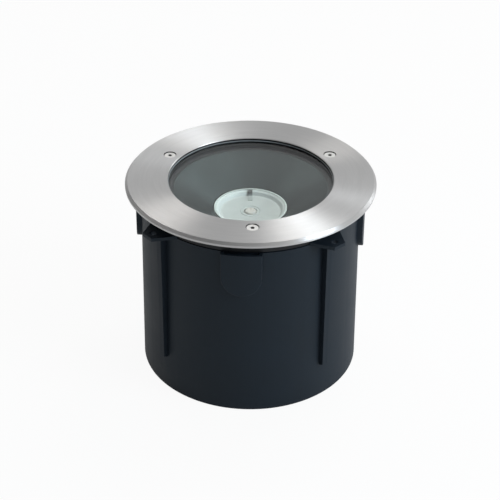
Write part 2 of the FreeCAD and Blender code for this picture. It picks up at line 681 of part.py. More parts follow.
def make_pockets(place, turn):
    """Two U pockets that face each other, and the hollows inside them."""
    pockets = new_body("sleeve_%s_pockets" % place, turn=turn)
    centre = place + "_pocket_centre"
    shape_pocket(pockets, centre, "0", "pocket_radius", [("sleeve_root", "0")])
    outer = value_of("pocket_radius")
    top = value_of("sleeve_top")

    def on_outer_face(point):
        return abs(math.hypot(point.x, point.y) - outer) < NEAR

    def below_rim(body, edge_name):
        return not lies_flat_at(body, edge_name, top)
    dress(pockets, "round", "Fillet", "pocket_round", on_outer_face, below_rim)
    copy_whole(pockets, PAIR)

    hollows = new_body("sleeve_%s_hollows" % place, turn=turn)
    shape_pocket(hollows, centre, "sleeve_wall", "pocket_inner_radius", [
        ("sleeve_hollow_start", "0"),
        ("ledge_outer", "ledge_low"),
    ])
    copy_whole(hollows, PAIR)
    return pockets, hollows


def lies_flat_at(body, edge_name, height):
    """Whether an edge lies wholly at one height."""
    edge = body.Tip.Shape.getElement(edge_name)
    box = edge.BoundBox
    return abs(box.ZMin - height) < NEAR and abs(box.ZMax - height) < NEAR


def shape_pocket(body, centre, inset, outer, inner_steps):
    """A U seen from the front, inset from the pocket's outline, between two round walls."""
    half = "(pocket_half_width - %s)" % inset
    upright = new_sketch(body, "upright", "XZ_Plane")
    draw_box(upright, "-" + half, centre, half, "sleeve_top")
    add_pad(body, "upright_part", upright, outer + " + cut_margin")
    bottom = new_sketch(body, "bottom", "XZ_Plane")
    draw_circle(bottom, "0", centre, half)
    add_pad(body, "round_part", bottom, outer + " + cut_margin")
    turn_solid(body, "outside", [
        (outer, "0"),
        ("2 * " + outer, "0"),
        ("2 * " + outer, "sleeve_top + cut_margin"),
        (outer, "sleeve_top + cut_margin"),
    ], cut=True)
    for number, (radius, low) in enumerate(inner_steps):
        turn_solid(body, "inside_%d" % number, [
            ("0", low),
            (radius, low),
            (radius, "sleeve_top + cut_margin"),
            ("0", "sleeve_top + cut_margin"),
        ], cut=True)


def copy_whole(body, count):
    """The whole body repeated about Z."""
    pattern = body.newObject("PartDesign::PolarPattern", body.Name + "_all")
    pattern.TransformMode = "Whole shape"
    pattern.Axis = (datum(body, "Z_Axis"), [""])
    pattern.Angle = 360
    pattern.setExpression("Occurrences", bind(count))
    body.Tip = pattern
    return settle(body, pattern)


# ---------------------------------------------------------------------------------------------
# Faceplate, its screws and inserts
# ---------------------------------------------------------------------------------------------
def make_faceplate():
    """Bevelled steel ring with countersunk holes."""
    body = new_body("faceplate")
    turn_solid(body, "ring", [
        ("plate_opening_radius", "gasket_top"),
        ("glass_recess_radius", "gasket_top"),
        ("glass_recess_radius", "collar_top"),
        ("plate_radius - plate_low_bevel", "collar_top"),
        ("plate_radius", "collar_top + plate_low_bevel"),
        ("plate_radius", "overall_height - plate_bevel"),
        ("plate_radius - plate_bevel", "overall_height"),
        ("plate_opening_radius + plate_inner_bevel", "overall_height"),
        ("plate_opening_radius", "overall_height - plate_inner_bevel"),
    ])
    sink = turn_solid(body, "sink", [
        ("-screw_circle", "collar_top"),
        ("-screw_circle + plate_hole_radius", "collar_top"),
        ("-screw_circle + plate_hole_radius", "overall_height - (sink_radius - plate_hole_radius)"),
        ("-screw_circle + sink_radius", "overall_height"),
        ("-screw_circle", "overall_height"),
    ], role="YZ_Plane", axis_x="-screw_circle", cut=True)
    copy_round(body, "sinks", [sink], SCREW_COUNT)
    return body


def make_faceplate_screws():
    """Countersunk screws with hexagon sockets, seated in the faceplate."""
    body = new_body("faceplate_screws")
    top = "overall_height - screw_recess"
    turn_solid(body, "screw", [
        ("-screw_circle", top + " - screw_length"),
        ("-screw_circle + screw_radius - screw_tip_bevel", top + " - screw_length"),
        ("-screw_circle + screw_radius", top + " - screw_length + screw_tip_bevel"),
        ("-screw_circle + screw_radius", top + " - (screw_head_radius - screw_radius)"),
        ("-screw_circle + screw_head_radius", top),
        ("-screw_circle", top),
    ], role="YZ_Plane", axis_x="-screw_circle")
    socket = new_sketch(body, "socket", "XY_Plane", top)
    draw_hexagon(socket, "0", "-screw_circle", "screw_socket_flats")
    cut_pocket(body, "socket_cut", socket, "screw_socket_depth")
    copy_whole(body, SCREW_COUNT)
    return body


def make_threaded_inserts():
    """Plain sleeves that hold the faceplate screws."""
    body = new_body("threaded_inserts")
    ring = new_sketch(body, "ring", "XY_Plane", "collar_top - insert_length")
    draw_circle(ring, "0", "-screw_circle", "insert_radius")
    draw_circle(ring, "0", "-screw_circle", "insert_bore")
    add_pad(body, "insert", ring, "insert_length")
    copy_whole(body, SCREW_COUNT)
    return body


# ---------------------------------------------------------------------------------------------
# Glass, gasket, cone and its carrier
# ---------------------------------------------------------------------------------------------
def make_glass():
    """Flat toughened disc with ground edges."""
    body = new_body("glass_lens")
    turn_solid(body, "disc", [
        ("0", "glass_low"),
        ("glass_radius - glass_bevel", "glass_low"),
        ("glass_radius", "glass_low + glass_bevel"),
        ("glass_radius", "glass_top - glass_bevel"),
        ("glass_radius - glass_bevel", "glass_top"),
        ("0", "glass_top"),
    ])
    return body


def make_gasket():
    """U-section gasket round the edge of the glass."""
    body = new_body("glass_gasket")
    lip = "plate_opening_radius - gasket_show"
    turn_solid(body, "section", [
        (lip, "glass_seat"),
        ("gasket_radius", "glass_seat"),
        ("gasket_radius", "gasket_top"),
        (lip, "gasket_top"),
        (lip, "glass_top"),
        ("glass_radius", "glass_top"),
        ("glass_radius", "glass_low"),
        (lip, "glass_low"),
    ])
    return body


def make_cone():
    """Spun cone with an upright rim, open round the lamp."""
    body = new_body("antiglare_cone")
    turn_solid(body, "sheet", [
        ("cone_hole_radius", "cone_under_hole"),
        ("cone_rim_outer", "cone_under_rim"),
        ("cone_rim_outer", "carrier_top"),
        ("cone_rim_radius", "carrier_top"),
        ("cone_rim_radius", "cone_crease"),
        ("cone_hole_radius", "lamp_face"),
    ])
    return body


def make_cone_carrier():
    """Ring on the pot's ledge, with a sloped toe under the cone."""
    body = new_body("cone_carrier")
    turn_solid(body, "section", [
        ("carrier_toe_radius", "carrier_low"),
        ("carrier_radius", "carrier_low"),
        ("carrier_radius", "carrier_top"),
        ("carrier_bore", "carrier_top"),
        ("carrier_bore", "cone_under_bore"),
        ("carrier_toe_radius", "cone_under_toe"),
    ])
    return body


# ---------------------------------------------------------------------------------------------
# Lamp housing
# ---------------------------------------------------------------------------------------------
def make_housing():
    """Cast pot with a wide collar, bosses, ribs, posts, and pads for what it carries."""
    body = new_body("lamp_housing")
    turn_solid(body, "pot", [
        ("0", "pot_low"),
        ("pot_outer_low", "pot_low"),
        ("pot_outer_top", "sleeve_top"),
        ("collar_radius", "sleeve_top"),
        ("collar_radius", "collar_top"),
        ("glass_recess_radius", "collar_top"),
        ("glass_recess_radius", "glass_seat"),
        ("shelf_radius", "glass_seat"),
        ("shelf_radius", "carrier_low"),
        ("pot_inner_top", "carrier_low"),
        ("pot_inner_low", "floor_top"),
        ("0", "floor_top"),
    ])
    dress(body, "collar_top_edge", "Chamfer", "collar_bevel", ring_edge("collar_radius", "collar_top"))
    dress(body, "collar_low_edge", "Chamfer", "collar_bevel", ring_edge("collar_radius", "sleeve_top"))
    dress(body, "foot_edge", "Fillet", "pot_corner", ring_edge("pot_outer_low", "pot_low"))

    web = new_sketch(body, "boss_web", "XY_Plane", "boss_low")
    draw_box(web, "-boss_radius", "-screw_circle", "boss_radius", "-pot_skin")
    web_pad = add_pad(body, "boss_web_pad", web, "boss_root")
    boss = new_sketch(body, "boss", "XY_Plane", "boss_low")
    draw_circle(boss, "0", "-screw_circle", "boss_radius")
    boss_pad = add_pad(body, "boss_pad", boss, "boss_root")
    copy_round(body, "bosses", [web_pad, boss_pad], SCREW_COUNT)
    hole = new_sketch(body, "insert_hole", "XY_Plane", "collar_top")
    draw_circle(hole, "0", "-screw_circle", "insert_radius")
    hole_cut = cut_pocket(body, "insert_hole_cut", hole, "insert_length")
    copy_round(body, "insert_holes", [hole_cut], SCREW_COUNT)
    tip = new_sketch(body, "tip_hole", "XY_Plane", "collar_top - insert_length")
    draw_circle(tip, "0", "-screw_circle", "insert_bore")
    tip_cut = cut_pocket(body, "tip_hole_cut", tip, "tip_hole_depth")
    copy_round(body, "tip_holes", [tip_cut], SCREW_COUNT)

    rib = new_sketch(body, "rib", "XZ_Plane")
    draw_polygon(rib, [
        ("pot_skin", "sleeve_top + collar_bevel"),
        ("ledge_radius - rib_sleeve_gap", "sleeve_top + collar_bevel"),
        ("ledge_radius - rib_sleeve_gap", "sleeve_top - rib_tip"),
        ("pot_skin", "sleeve_top - rib_drop"),
    ])
    rib_pad = add_pad(body, "rib_pad", rib, "rib_thickness", both_ways=True)
    copy_round(body, "ribs", [rib_pad], "rib_count")

    post = new_sketch(body, "post", "XY_Plane", "floor_top - pot_floor / 2")
    draw_circle(post, "0", "-post_circle", "post_radius")
    post_pad = add_pad(body, "post_pad", post, "bay_height + pot_floor / 2")
    copy_round(body, "posts", [post_pad], SCREW_COUNT)
    post_hole = new_sketch(body, "post_hole", "XY_Plane", "deck_low")
    draw_circle(post_hole, "0", "-post_circle", "deck_screw_bore")
    post_cut = cut_pocket(body, "post_cut", post_hole,
                          "deck_screw_length - deck_thickness + hole_spare")
    copy_round(body, "post_holes", [post_cut], SCREW_COUNT)

    cast_pads = new_sketch(body, "driver_pads", "XY_Plane", "floor_top - pot_floor / 2")
    for side in SIDES:
        draw_circle(cast_pads, "%d * driver_screw_x" % side, "-driver_offset", "driver_pad_radius")
    add_pad(body, "driver_pads_up", cast_pads, "driver_pad_height + pot_floor / 2")
    cast_holes = new_sketch(body, "driver_holes", "XY_Plane", "driver_low")
    for side in SIDES:
        draw_circle(cast_holes, "%d * driver_screw_x" % side, "-driver_offset", "deck_screw_bore")
    cut_pocket(body, "driver_holes_cut", cast_holes,
               "driver_screw_length - driver_tab_thickness + hole_spare")

    earth = new_sketch(body, "earth_boss", "XY_Plane", "floor_top - pot_floor / 2")
    draw_circle(earth, "-earth_x", "earth_y", "earth_boss_radius")
    add_pad(body, "earth_boss_up", earth, "earth_boss_height + pot_floor / 2")
    earth_hole = new_sketch(body, "earth_hole", "XY_Plane", "earth_boss_top")
    draw_circle(earth_hole, "-earth_x", "earth_y", "earth_screw_radius + thread_play")
    cut_pocket(body, "earth_hole_cut", earth_hole,
               "earth_screw_length - earth_tag_thickness + hole_spare")

    gland_pads = new_sketch(body, "gland_pads", "XY_Plane", "gland_face")
    for side in SIDES:
        draw_circle(gland_pads, "%d * gland_x" % side, "gland_y", "gland_pad_radius")
    draw_circle(gland_pads, "0", "gland_y", "breather_pad_radius")
    add_pad(body, "gland_pads_up", gland_pads, "gland_pad_height + pot_floor / 2")
    entries = new_sketch(body, "entries", "XY_Plane", "floor_top")
    for side in SIDES:
        draw_circle(entries, "%d * gland_x" % side, "gland_y", "gland_thread_radius + gland_thread_play")
    draw_circle(entries, "0", "gland_y", "breather_radius + gland_thread_play")
    cut_pocket(body, "entries_cut", entries, "pot_floor + gland_pad_height")
    return body


# ---------------------------------------------------------------------------------------------
# Deck and pan pivot
# ---------------------------------------------------------------------------------------------
def make_deck():
    """Sheet on three posts, which carries the pan pivot."""
    body = new_body("deck_plate")
    disc = new_sketch(body, "disc", "XY_Plane", "deck_low")
    draw_circle(disc, "0", "0", "deck_radius")
    draw_circle(disc, "0", "0", "pivot_radius + face_play")
    add_pad(body, "sheet", disc, "deck_thickness")
    hole = new_sketch(body, "screw_hole", "XY_Plane", "deck_top")
    draw_circle(hole, "0", "-post_circle", "deck_screw_radius + hole_play")
    hole_cut = cut_pocket(body, "screw_hole_cut", hole, "deck_thickness")
    copy_round(body, "screw_holes", [hole_cut], SCREW_COUNT)
    return body


def make_pan_screws(name, places, seat, length):
    """Pan head M4 screws with their heads on the level seat."""
    body = new_body(name)
    heads = new_sketch(body, "heads", "XY_Plane", seat)
    shanks = new_sketch(body, "shanks", "XY_Plane", seat)
    crosses = new_sketch(body, "crosses", "XY_Plane", seat + " + deck_screw_head_height")
    for x, y in places:
        draw_circle(heads, x, y, "deck_screw_head_radius")
        draw_circle(shanks, x, y, "deck_screw_radius")
        draw_hexagon(crosses, x, y, "deck_screw_radius")
    add_pad(body, "head", heads, "deck_screw_head_height")
    add_pad(body, "shank", shanks, length, reverse=True)
    cut_pocket(body, "drive", crosses, "deck_screw_head_height / 2")
    return body


def make_deck_screws():
    """Screws through the deck into the posts."""
    body = make_pan_screws("deck_screws", [("0", "-post_circle")], "deck_top", "deck_screw_length")
    copy_whole(body, SCREW_COUNT)
    return body


def make_pivot_bolt():
    """Hollow bolt through the deck, the yoke and two washers."""
    body = new_body("pivot_bolt")
    head = new_sketch(body, "head", "XY_Plane", "deck_low")
    draw_hexagon(head, "0", "0", "pivot_head_flats")
    add_pad(body, "head_pad", head, "pivot_head_height", reverse=True)
    shank = new_sketch(body, "shank", "XY_Plane", "deck_low")
    draw_circle(shank, "0", "0", "pivot_radius")
    add_pad(body, "shank_pad", shank, "pivot_bolt_top - deck_low")
    bore = new_sketch(body, "bore", "XY_Plane", "pivot_bolt_top")
    draw_circle(bore, "0", "0", "pivot_bore_radius")
    cut_pocket(body, "bore_cut", bore, "pivot_bolt_top - deck_low + pivot_head_height")
    return body


def make_washer(name, low, thickness, bore, radius):
    """Flat ring about Z."""
    body = new_body(name)
    ring = new_sketch(body, "ring", "XY_Plane", low)
    draw_circle(ring, "0", "0", radius)
    draw_circle(ring, "0", "0", bore)
    add_pad(body, "ring_pad", ring, thickness)
    return body


def make_pivot_nut():
    """Hexagon nut on the pivot bolt."""
    body = new_body("pivot_nut")
    hexagon = new_sketch(body, "hexagon", "XY_Plane", "nut_low")
    draw_hexagon(hexagon, "0", "0", "pivot_nut_flats")
    draw_circle(hexagon, "0", "0", "pivot_radius")
    add_pad(body, "nut", hexagon, "pivot_nut_height")
    return body


# ---------------------------------------------------------------------------------------------
# Yoke and tilt pivot
# ---------------------------------------------------------------------------------------------
def make_yoke():
    """Bent sheet with two tapered arms that end round the tilt axis."""
    body = new_body("tilt_yoke")
    front = new_sketch(body, "front", "XZ_Plane")
    draw_polygon(front, [
        ("-arm_outer", "yoke_base_low"),
        ("arm_outer", "yoke_base_low"),
        ("arm_outer", "tilt_axis"),
        ("arm_face", "tilt_axis"),
        ("arm_face", "yoke_base_top"),
        ("-arm_face", "yoke_base_top"),
        ("-arm_face", "tilt_axis"),
        ("-arm_outer", "tilt_axis"),
    ])
    add_pad(body, "bent_strip", front, "yoke_base_width", both_ways=True)
    taper = new_sketch(body, "taper", "YZ_Plane")
    for side in SIDES:
        draw_polygon(taper, [
            ("%d * yoke_arm_radius" % side, "tilt_axis + yoke_thickness"),
            ("%d * yoke_base_width" % side, "tilt_axis + yoke_thickness"),
            ("%d * yoke_base_width" % side, "yoke_base_top + yoke_shoulder"),
            ("%d * yoke_base_width / 2" % side, "yoke_base_top + yoke_shoulder"),
        ])
    cut_pocket(body, "taper_cut", taper, "4 * arm_outer", both_ways=True)
    for name, radius, x, z in (
            ("inner_bends", "yoke_bend", "arm_face", "yoke_base_top"),
            ("outer_bends", "yoke_bend + yoke_thickness", "arm_outer", "yoke_base_low")):
        wanted_x = value_of(x)
        wanted_z = value_of(z)

        def on_bend(point):
            return abs(abs(point.x) - wanted_x) < NEAR and abs(point.z - wanted_z) < NEAR
        dress(body, name, "Fillet", radius, on_bend)
    end = new_sketch(body, "arm_end", "YZ_Plane", "arm_face")
    draw_circle(end, "0", "tilt_axis", "yoke_arm_radius")
    end_pad = add_pad(body, "arm_end_pad", end, "yoke_thickness")
    copy_across(body, "arm_ends", [end_pad])
    pivots = new_sketch(body, "pivots", "YZ_Plane")
    draw_circle(pivots, "0", "tilt_axis", "tilt_hole")
    cut_pocket(body, "pivot_holes", pivots, "4 * arm_outer", both_ways=True)
    middle = new_sketch(body, "middle", "XY_Plane", "yoke_base_top")
    draw_circle(middle, "0", "0", "yoke_hole")
    cut_pocket(body, "middle_hole", middle, "yoke_thickness")
    return body


def make_tilt_screws():
    """Shoulder screws through the arms into the lugs."""
    body = new_body("tilt_screws")
    steps = [
        ("thread", "lug_face - tilt_thread_length", "tilt_thread_length", "tilt_thread_radius"),
        ("shoulder", "lug_face", "arm_outer + face_play - lug_face", "tilt_screw_radius"),
        ("head", "arm_outer + face_play", "tilt_head_height", "tilt_head_radius"),
    ]
    pads = []
    for name, start, length, radius in steps:
        circle = new_sketch(body, name, "YZ_Plane", start)
        draw_circle(circle, "0", "tilt_axis", radius)
        pads.append(add_pad(body, name + "_pad", circle, length))
    socket = new_sketch(body, "socket", "YZ_Plane", "arm_outer + face_play + tilt_head_height")
    draw_hexagon(socket, "0", "tilt_axis", "tilt_socket_flats")
    pads.append(cut_pocket(body, "socket_cut", socket, "tilt_socket_depth"))
    copy_across(body, "both", pads)
    return body


def make_tilt_washers():
    """Friction washers between the lugs and the arms."""
    body = new_body("tilt_washers")
    ring = new_sketch(body, "ring", "YZ_Plane", "lug_face")
    draw_circle(ring, "0", "tilt_axis", "lug_radius")
    draw_circle(ring, "0", "tilt_axis", "tilt_screw_radius + face_play")
    ring_pad = add_pad(body, "ring_pad", ring, "tilt_washer_thickness")
    copy_across(body, "both", [ring_pad])
    return body


# ---------------------------------------------------------------------------------------------
# Lamp head
# ---------------------------------------------------------------------------------------------
def make_heat_sink():
    """Cast cup with lugs, and parallel fins below."""
    body = new_body("heat_sink")
    turn_solid(body, "cup", [
        ("0", "head_low"),
        ("fin_radius", "head_low"),
        ("fin_radius", "cup_low"),
        ("cup_radius", "cup_low"),
        ("cup_radius", "cup_top"),
        ("cup_bore", "cup_top"),
        ("cup_bore", "board_seat"),
        ("0", "board_seat"),
    ])
    lug = new_sketch(body, "lug", "YZ_Plane", "cup_radius - lug_root")
    draw_circle(lug, "0", "tilt_axis", "lug_radius")
    lug_pad = add_pad(body, "lug_pad", lug, "lug_reach + lug_root")
    copy_across(body, "lugs", [lug_pad])
    thread = new_sketch(body, "thread", "YZ_Plane", "lug_face")
    draw_circle(thread, "0", "tilt_axis", "tilt_thread_radius + thread_play")
    thread_cut = cut_pocket(body, "thread_cut", thread, "tilt_thread_length + hole_spare")
    copy_across(body, "threads", [thread_cut])
    slots = new_sketch(body, "slots", "XZ_Plane")
    for step in range(int(value_of("fin_slots"))):
        middle = "(%d - (fin_slots - 1) / 2) * fin_pitch" % step
        draw_box(slots, middle + " - fin_gap / 2", "head_low",
                 middle + " + fin_gap / 2", "fin_top")
    cut_pocket(body, "slots_cut", slots, "4 * cup_radius", both_ways=True)
    return body


def make_square(name, low, thickness):
    """Square sheet as wide as the board."""
    body = new_body(name)
    square = new_sketch(body, "square", "XY_Plane", low)
    draw_box(square, "-board_width / 2", "-board_width / 2", "board_width / 2", "board_width / 2")
    add_pad(body, "square_pad", square, thickness)
    return body


def make_dome():
    """Low rounded emitter on the board."""
    body = new_body("led_dome")
    disc = new_sketch(body, "disc", "XY_Plane", "board_top")
    draw_circle(disc, "0", "0", "dome_radius")
    add_pad(body, "disc_pad", disc, "dome_height")
    dress(body, "round", "Fillet", "dome_round", ring_edge("dome_radius", "board_top + dome_height"))
    return body


def make_bowl():
    """Shallow bowl with a flange on the cup, a sloped rim and a hole for the dome."""
    body = new_body("optic_bowl")
    turn_solid(body, "section", [
        ("bowl_hole", "holder_top"),
        ("bowl_low_radius", "holder_top"),
        ("bowl_radius", "cup_top"),
        ("bowl_flange_radius", "cup_top"),
        ("bowl_flange_radius", "bowl_top"),
        ("bezel_radius - bezel_lip", "bowl_top"),
        ("bowl_radius - bowl_wall", "cup_top"),
        ("bowl_low_radius - bowl_wall", "bowl_floor"),
        ("bowl_ring_radius + bowl_ring_height", "bowl_floor"),
        ("bowl_ring_radius", "bowl_floor + bowl_ring_height"),
        ("bowl_ring_radius - bowl_ring_height", "bowl_floor"),
        ("bowl_hole", "bowl_floor"),
    ])
    dress(body, "corner", "Fillet", "bowl_corner",
          ring_edge("bowl_low_radius - bowl_wall", "bowl_floor"))
    return body


def make_bezel():
    """Bright ring that holds the bowl on the cup."""
    body = new_body("bezel_ring")
    turn_solid(body, "section", [
        ("cup_radius", "lamp_face - bezel_height"),
        ("bezel_radius", "lamp_face - bezel_height"),
        ("bezel_radius", "lamp_face"),
        ("bezel_radius - bezel_lip", "lamp_face"),
        ("bezel_radius - bezel_lip", "bowl_top"),
        ("cup_radius", "bowl_top"),
    ])
    return body


def make_clip():
    """Bent strip from the bowl's rim down its wall and along its floor."""
    body = new_body("retaining_clip")
    side = new_sketch(body, "side", "YZ_Plane")
    draw_polygon(side, [
        ("clip_back - clip_foot", "bowl_floor"),
        ("clip_back", "bowl_floor"),
        ("clip_top", "cup_top"),
        ("clip_top + clip_hook", "bowl_top"),
        ("clip_top + clip_hook", "lamp_face - clip_rise / 2"),
        ("clip_top - clip_thickness", "cup_top + clip_thickness"),
        ("clip_back - clip_thickness", "bowl_floor + clip_thickness"),
        ("clip_back - clip_foot", "bowl_floor + clip_thickness"),
    ])
    add_pad(body, "strip", side, "clip_width", both_ways=True)
    return body


# ---------------------------------------------------------------------------------------------
# Driver, terminals and earth
# ---------------------------------------------------------------------------------------------
def make_driver():
    """Closed case with a tab at each end."""
    body = new_body("led_driver")
    case = new_sketch(body, "case", "XY_Plane", "driver_low")
    draw_box(case, "-driver_length / 2", "-driver_offset - driver_width / 2",
             "driver_length / 2", "-driver_offset + driver_width / 2")
    add_pad(body, "case_pad", case, "driver_height")
    tabs = new_sketch(body, "tabs", "XY_Plane", "driver_low")
    draw_box(tabs, "-driver_length / 2 - driver_tab", "-driver_offset - driver_tab_width / 2",
             "driver_length / 2 + driver_tab", "-driver_offset + driver_tab_width / 2")
    add_pad(body, "tabs_pad", tabs, "driver_tab_thickness")
    holes = new_sketch(body, "holes", "XY_Plane", "driver_low + driver_tab_thickness")
    for side in SIDES:
        draw_circle(holes, "%d * driver_screw_x" % side, "-driver_offset",
                    "deck_screw_radius + hole_play")
    cut_pocket(body, "holes_cut", holes, "driver_tab_thickness")
    return body


def make_driver_screws():
    """Screws through the driver's tabs into the cast pads."""
    places = [("%d * driver_screw_x" % side, "-driver_offset") for side in SIDES]
    seat = "driver_low + driver_tab_thickness"
    return make_pan_screws("driver_screws", places, seat, "driver_screw_length")


def terminal_places():
    """Middle of each terminal screw, as expressions."""
    places = []
    for pole in POLES:
        for side in SIDES:
            places.append(("%d * terminal_pitch" % pole,
                           "terminal_offset + %d * terminal_screw_spread" % side))
    return places


def make_terminal_block():
    """Three-pole block on the floor, with wire holes along Y and screw wells on top."""
    body = new_body("terminal_block")
    block = new_sketch(body, "block", "XY_Plane", "floor_top")
    draw_box(block, "-terminal_length / 2", "terminal_offset - terminal_width / 2",
             "terminal_length / 2", "terminal_offset + terminal_width / 2")
    add_pad(body, "block_pad", block, "terminal_height")
    wires = new_sketch(body, "wires", "XZ_Plane", "-terminal_offset")
    for pole in POLES:
        draw_circle(wires, "%d * terminal_pitch" % pole, "floor_top + terminal_hole_height",
                    "terminal_hole_radius")
    cut_pocket(body, "wires_cut", wires, "2 * terminal_width", both_ways=True)
    wells = new_sketch(body, "wells", "XY_Plane", "terminal_top")
    for x, y in terminal_places():
        draw_circle(wells, x, y, "terminal_screw_radius + face_play")
    cut_pocket(body, "wells_cut", wells, "terminal_screw_height + terminal_screw_sink")
    return body


def make_terminal_screws():
    """Slotted screws in the block's wells."""
    body = new_body("terminal_screws")
    low = "terminal_top - terminal_screw_sink - terminal_screw_height"
    screws = new_sketch(body, "screws", "XY_Plane", low)
    slots = new_sketch(body, "slots", "XY_Plane", "terminal_top - terminal_screw_sink")
    for x, y in terminal_places():
        draw_circle(screws, x, y, "terminal_screw_radius")
        draw_box(slots, x + " - terminal_slot_length / 2", y + " - terminal_slot_width / 2",
                 x + " + terminal_slot_length / 2", y + " + terminal_slot_width / 2")
    add_pad(body, "screws_pad", screws, "terminal_screw_height")
    cut_pocket(body, "slots_cut", slots, "terminal_screw_sink")
    return body


def make_earth_tag():
    """Ring tag with a flat tail, on the earth boss."""
    body = new_body("earth_tag")
    ring = new_sketch(body, "ring", "XY_Plane", "earth_boss_top")
    draw_circle(ring, "-earth_x", "earth_y", "earth_screw_head_radius + hole_spare")
    add_pad(body, "ring_pad", ring, "earth_tag_thickness")
    tail = new_sketch(body, "tail", "XY_Plane", "earth_boss_top")
    draw_box(tail, "-earth_x", "earth_y - earth_tag_width / 2",
             "-earth_x + earth_tag_tail", "earth_y + earth_tag_width / 2")
    add_pad(body, "tail_pad", tail, "earth_tag_thickness")
    hole = new_sketch(body, "hole", "XY_Plane", "earth_tag_top")
    draw_circle(hole, "-earth_x", "earth_y", "earth_screw_radius + face_play")
    cut_pocket(body, "hole_cut", hole, "earth_tag_thickness")
    return body


def make_earth_screw():
    """Screw through the ring tag into the earth boss."""
    body = new_body("earth_screw")
    head = new_sketch(body, "head", "XY_Plane", "earth_tag_top")
    draw_circle(head, "-earth_x", "earth_y", "earth_screw_head_radius")
    add_pad(body, "head_pad", head, "earth_screw_head_height")
    shank = new_sketch(body, "shank", "XY_Plane", "earth_tag_top")
    draw_circle(shank, "-earth_x", "earth_y", "earth_screw_radius")
    add_pad(body, "shank_pad", shank, "earth_screw_length", reverse=True)
    drive = new_sketch(body, "drive", "XY_Plane", "earth_tag_top + earth_screw_head_height")
    draw_hexagon(drive, "-earth_x", "earth_y", "earth_screw_radius")
    cut_pocket(body, "drive_cut", drive, "earth_screw_head_height / 2")
    return body


# ---------------------------------------------------------------------------------------------
# Cable glands and breather
# ---------------------------------------------------------------------------------------------
def add_stack(body, steps):
    """Round and hexagonal steps on the right gland's axis: name, form, size, low and high."""
    pads = []
    for name, form, size, low, high in steps:
        outline = new_sketch(body, name, "XY_Plane", low)
        if form == "hexagon":
            draw_hexagon(outline, "gland_x", "gland_y", size)
        else:
            draw_circle(outline, "gland_x", "gland_y", size)
        pads.append(add_pad(body, name + "_pad", outline, "(%s) - (%s)" % (high, low)))
    return pads


def cut_bore(body, name, radius, low, high):
    """Round hole on the right gland's axis, from high down to low."""
    outline = new_sketch(body, name, "XY_Plane", high)
    draw_circle(outline, "gland_x", "gland_y", radius)
    return cut_pocket(body, name + "_cut", outline, "(%s) - (%s)" % (high, low))


def make_gland_bodies():
    """Threaded bodies with a hexagon, one in each cable entry."""
    body = new_body("gland_bodies")
    top = "gland_face + gland_thread_length"
    features = add_stack(body, [
        ("hex", "hexagon", "gland_flats", "gland_hex_low", "gland_hex_top"),
        ("thread", "round", "gland_thread_radius", "gland_hex_top", top),
        ("neck", "round", "gland_neck_radius", "gland_neck_low", "gland_hex_low"),
    ])
    features.append(cut_bore(body, "bore", "gland_bore_radius", "gland_neck_low", top))
    copy_across(body, "both", features)
    return body


def make_gland_washers():
    """Flat seals between the hexagons and the cast pads."""
    body = new_body("gland_washers")
    features = add_stack(body, [
        ("ring", "round", "gland_flats / 2", "gland_hex_top", "gland_face"),
    ])
    features.append(cut_bore(body, "hole", "gland_thread_radius", "gland_hex_top", "gland_face"))
    copy_across(body, "both", features)
    return body


def make_gland_locknuts():
    """Nuts on the floor that hold the glands."""
    body = new_body("gland_locknuts")
    top = "floor_top + gland_locknut_height"
    features = add_stack(body, [("nut", "hexagon", "gland_flats", "floor_top", top)])
    features.append(cut_bore(body, "hole", "gland_thread_radius", "floor_top", top))
    copy_across(body, "both", features)
    return body


def make_gland_seals():
    """Rubber tubes that close round the cable."""
    body = new_body("gland_seals")
    top = "gland_neck_low + gland_seal_length"
    features = add_stack(body, [
        ("flange", "round", "gland_neck_radius", "gland_seal_low", "gland_neck_low"),
        ("tube", "round", "gland_bore_radius", "gland_neck_low", top),
    ])
    features.append(cut_bore(body, "bore", "gland_seal_bore", "gland_seal_low", top))
    copy_across(body, "both", features)
    return body


def make_gland_nuts():
    """Cap nuts with a tapered end."""
    body = new_body("gland_nuts")
    shoulder = "gland_cap_low + gland_cap_taper"
    end = turn_solid(body, "end", [
        ("gland_x", "gland_cap_low"),
        ("gland_x + gland_flats / 2 - gland_cap_end", "gland_cap_low"),
        ("gland_x + gland_flats / 2", shoulder),
        ("gland_x", shoulder),
    ], offset="-gland_y", axis_x="gland_x")
    features = [end]
    features += add_stack(body, [("hex", "hexagon", "gland_flats", shoulder, "gland_cap_top")])
    features.append(cut_bore(body, "thread", "gland_neck_radius", "gland_seal_low", "gland_cap_top"))
    features.append(cut_bore(body, "hole", "gland_cap_hole", "gland_cap_low", "gland_seal_low"))
    copy_across(body, "both", features)
    return body


def make_breather():
    """Pressure valve with cross slots in its head."""
    body = new_body("breather_valve")
    head = new_sketch(body, "head", "XY_Plane", "gland_face")
    draw_hexagon(head, "0", "gland_y", "breather_flats")
    add_pad(body, "head_pad", head, "breather_head_height", reverse=True)
    thread = new_sketch(body, "thread", "XY_Plane", "gland_face")
    draw_circle(thread, "0", "gland_y", "breather_radius")
    add_pad(body, "thread_pad", thread, "breather_length")
    slots = new_sketch(body, "slots", "XY_Plane",
                       "gland_face - breather_head_height + breather_slot_depth")
    draw_box(slots, "-breather_flats", "gland_y - breather_slot_width / 2",
             "breather_flats", "gland_y + breather_slot_width / 2")
    cut_pocket(body, "slots_cut", slots, "breather_slot_depth")
    return body


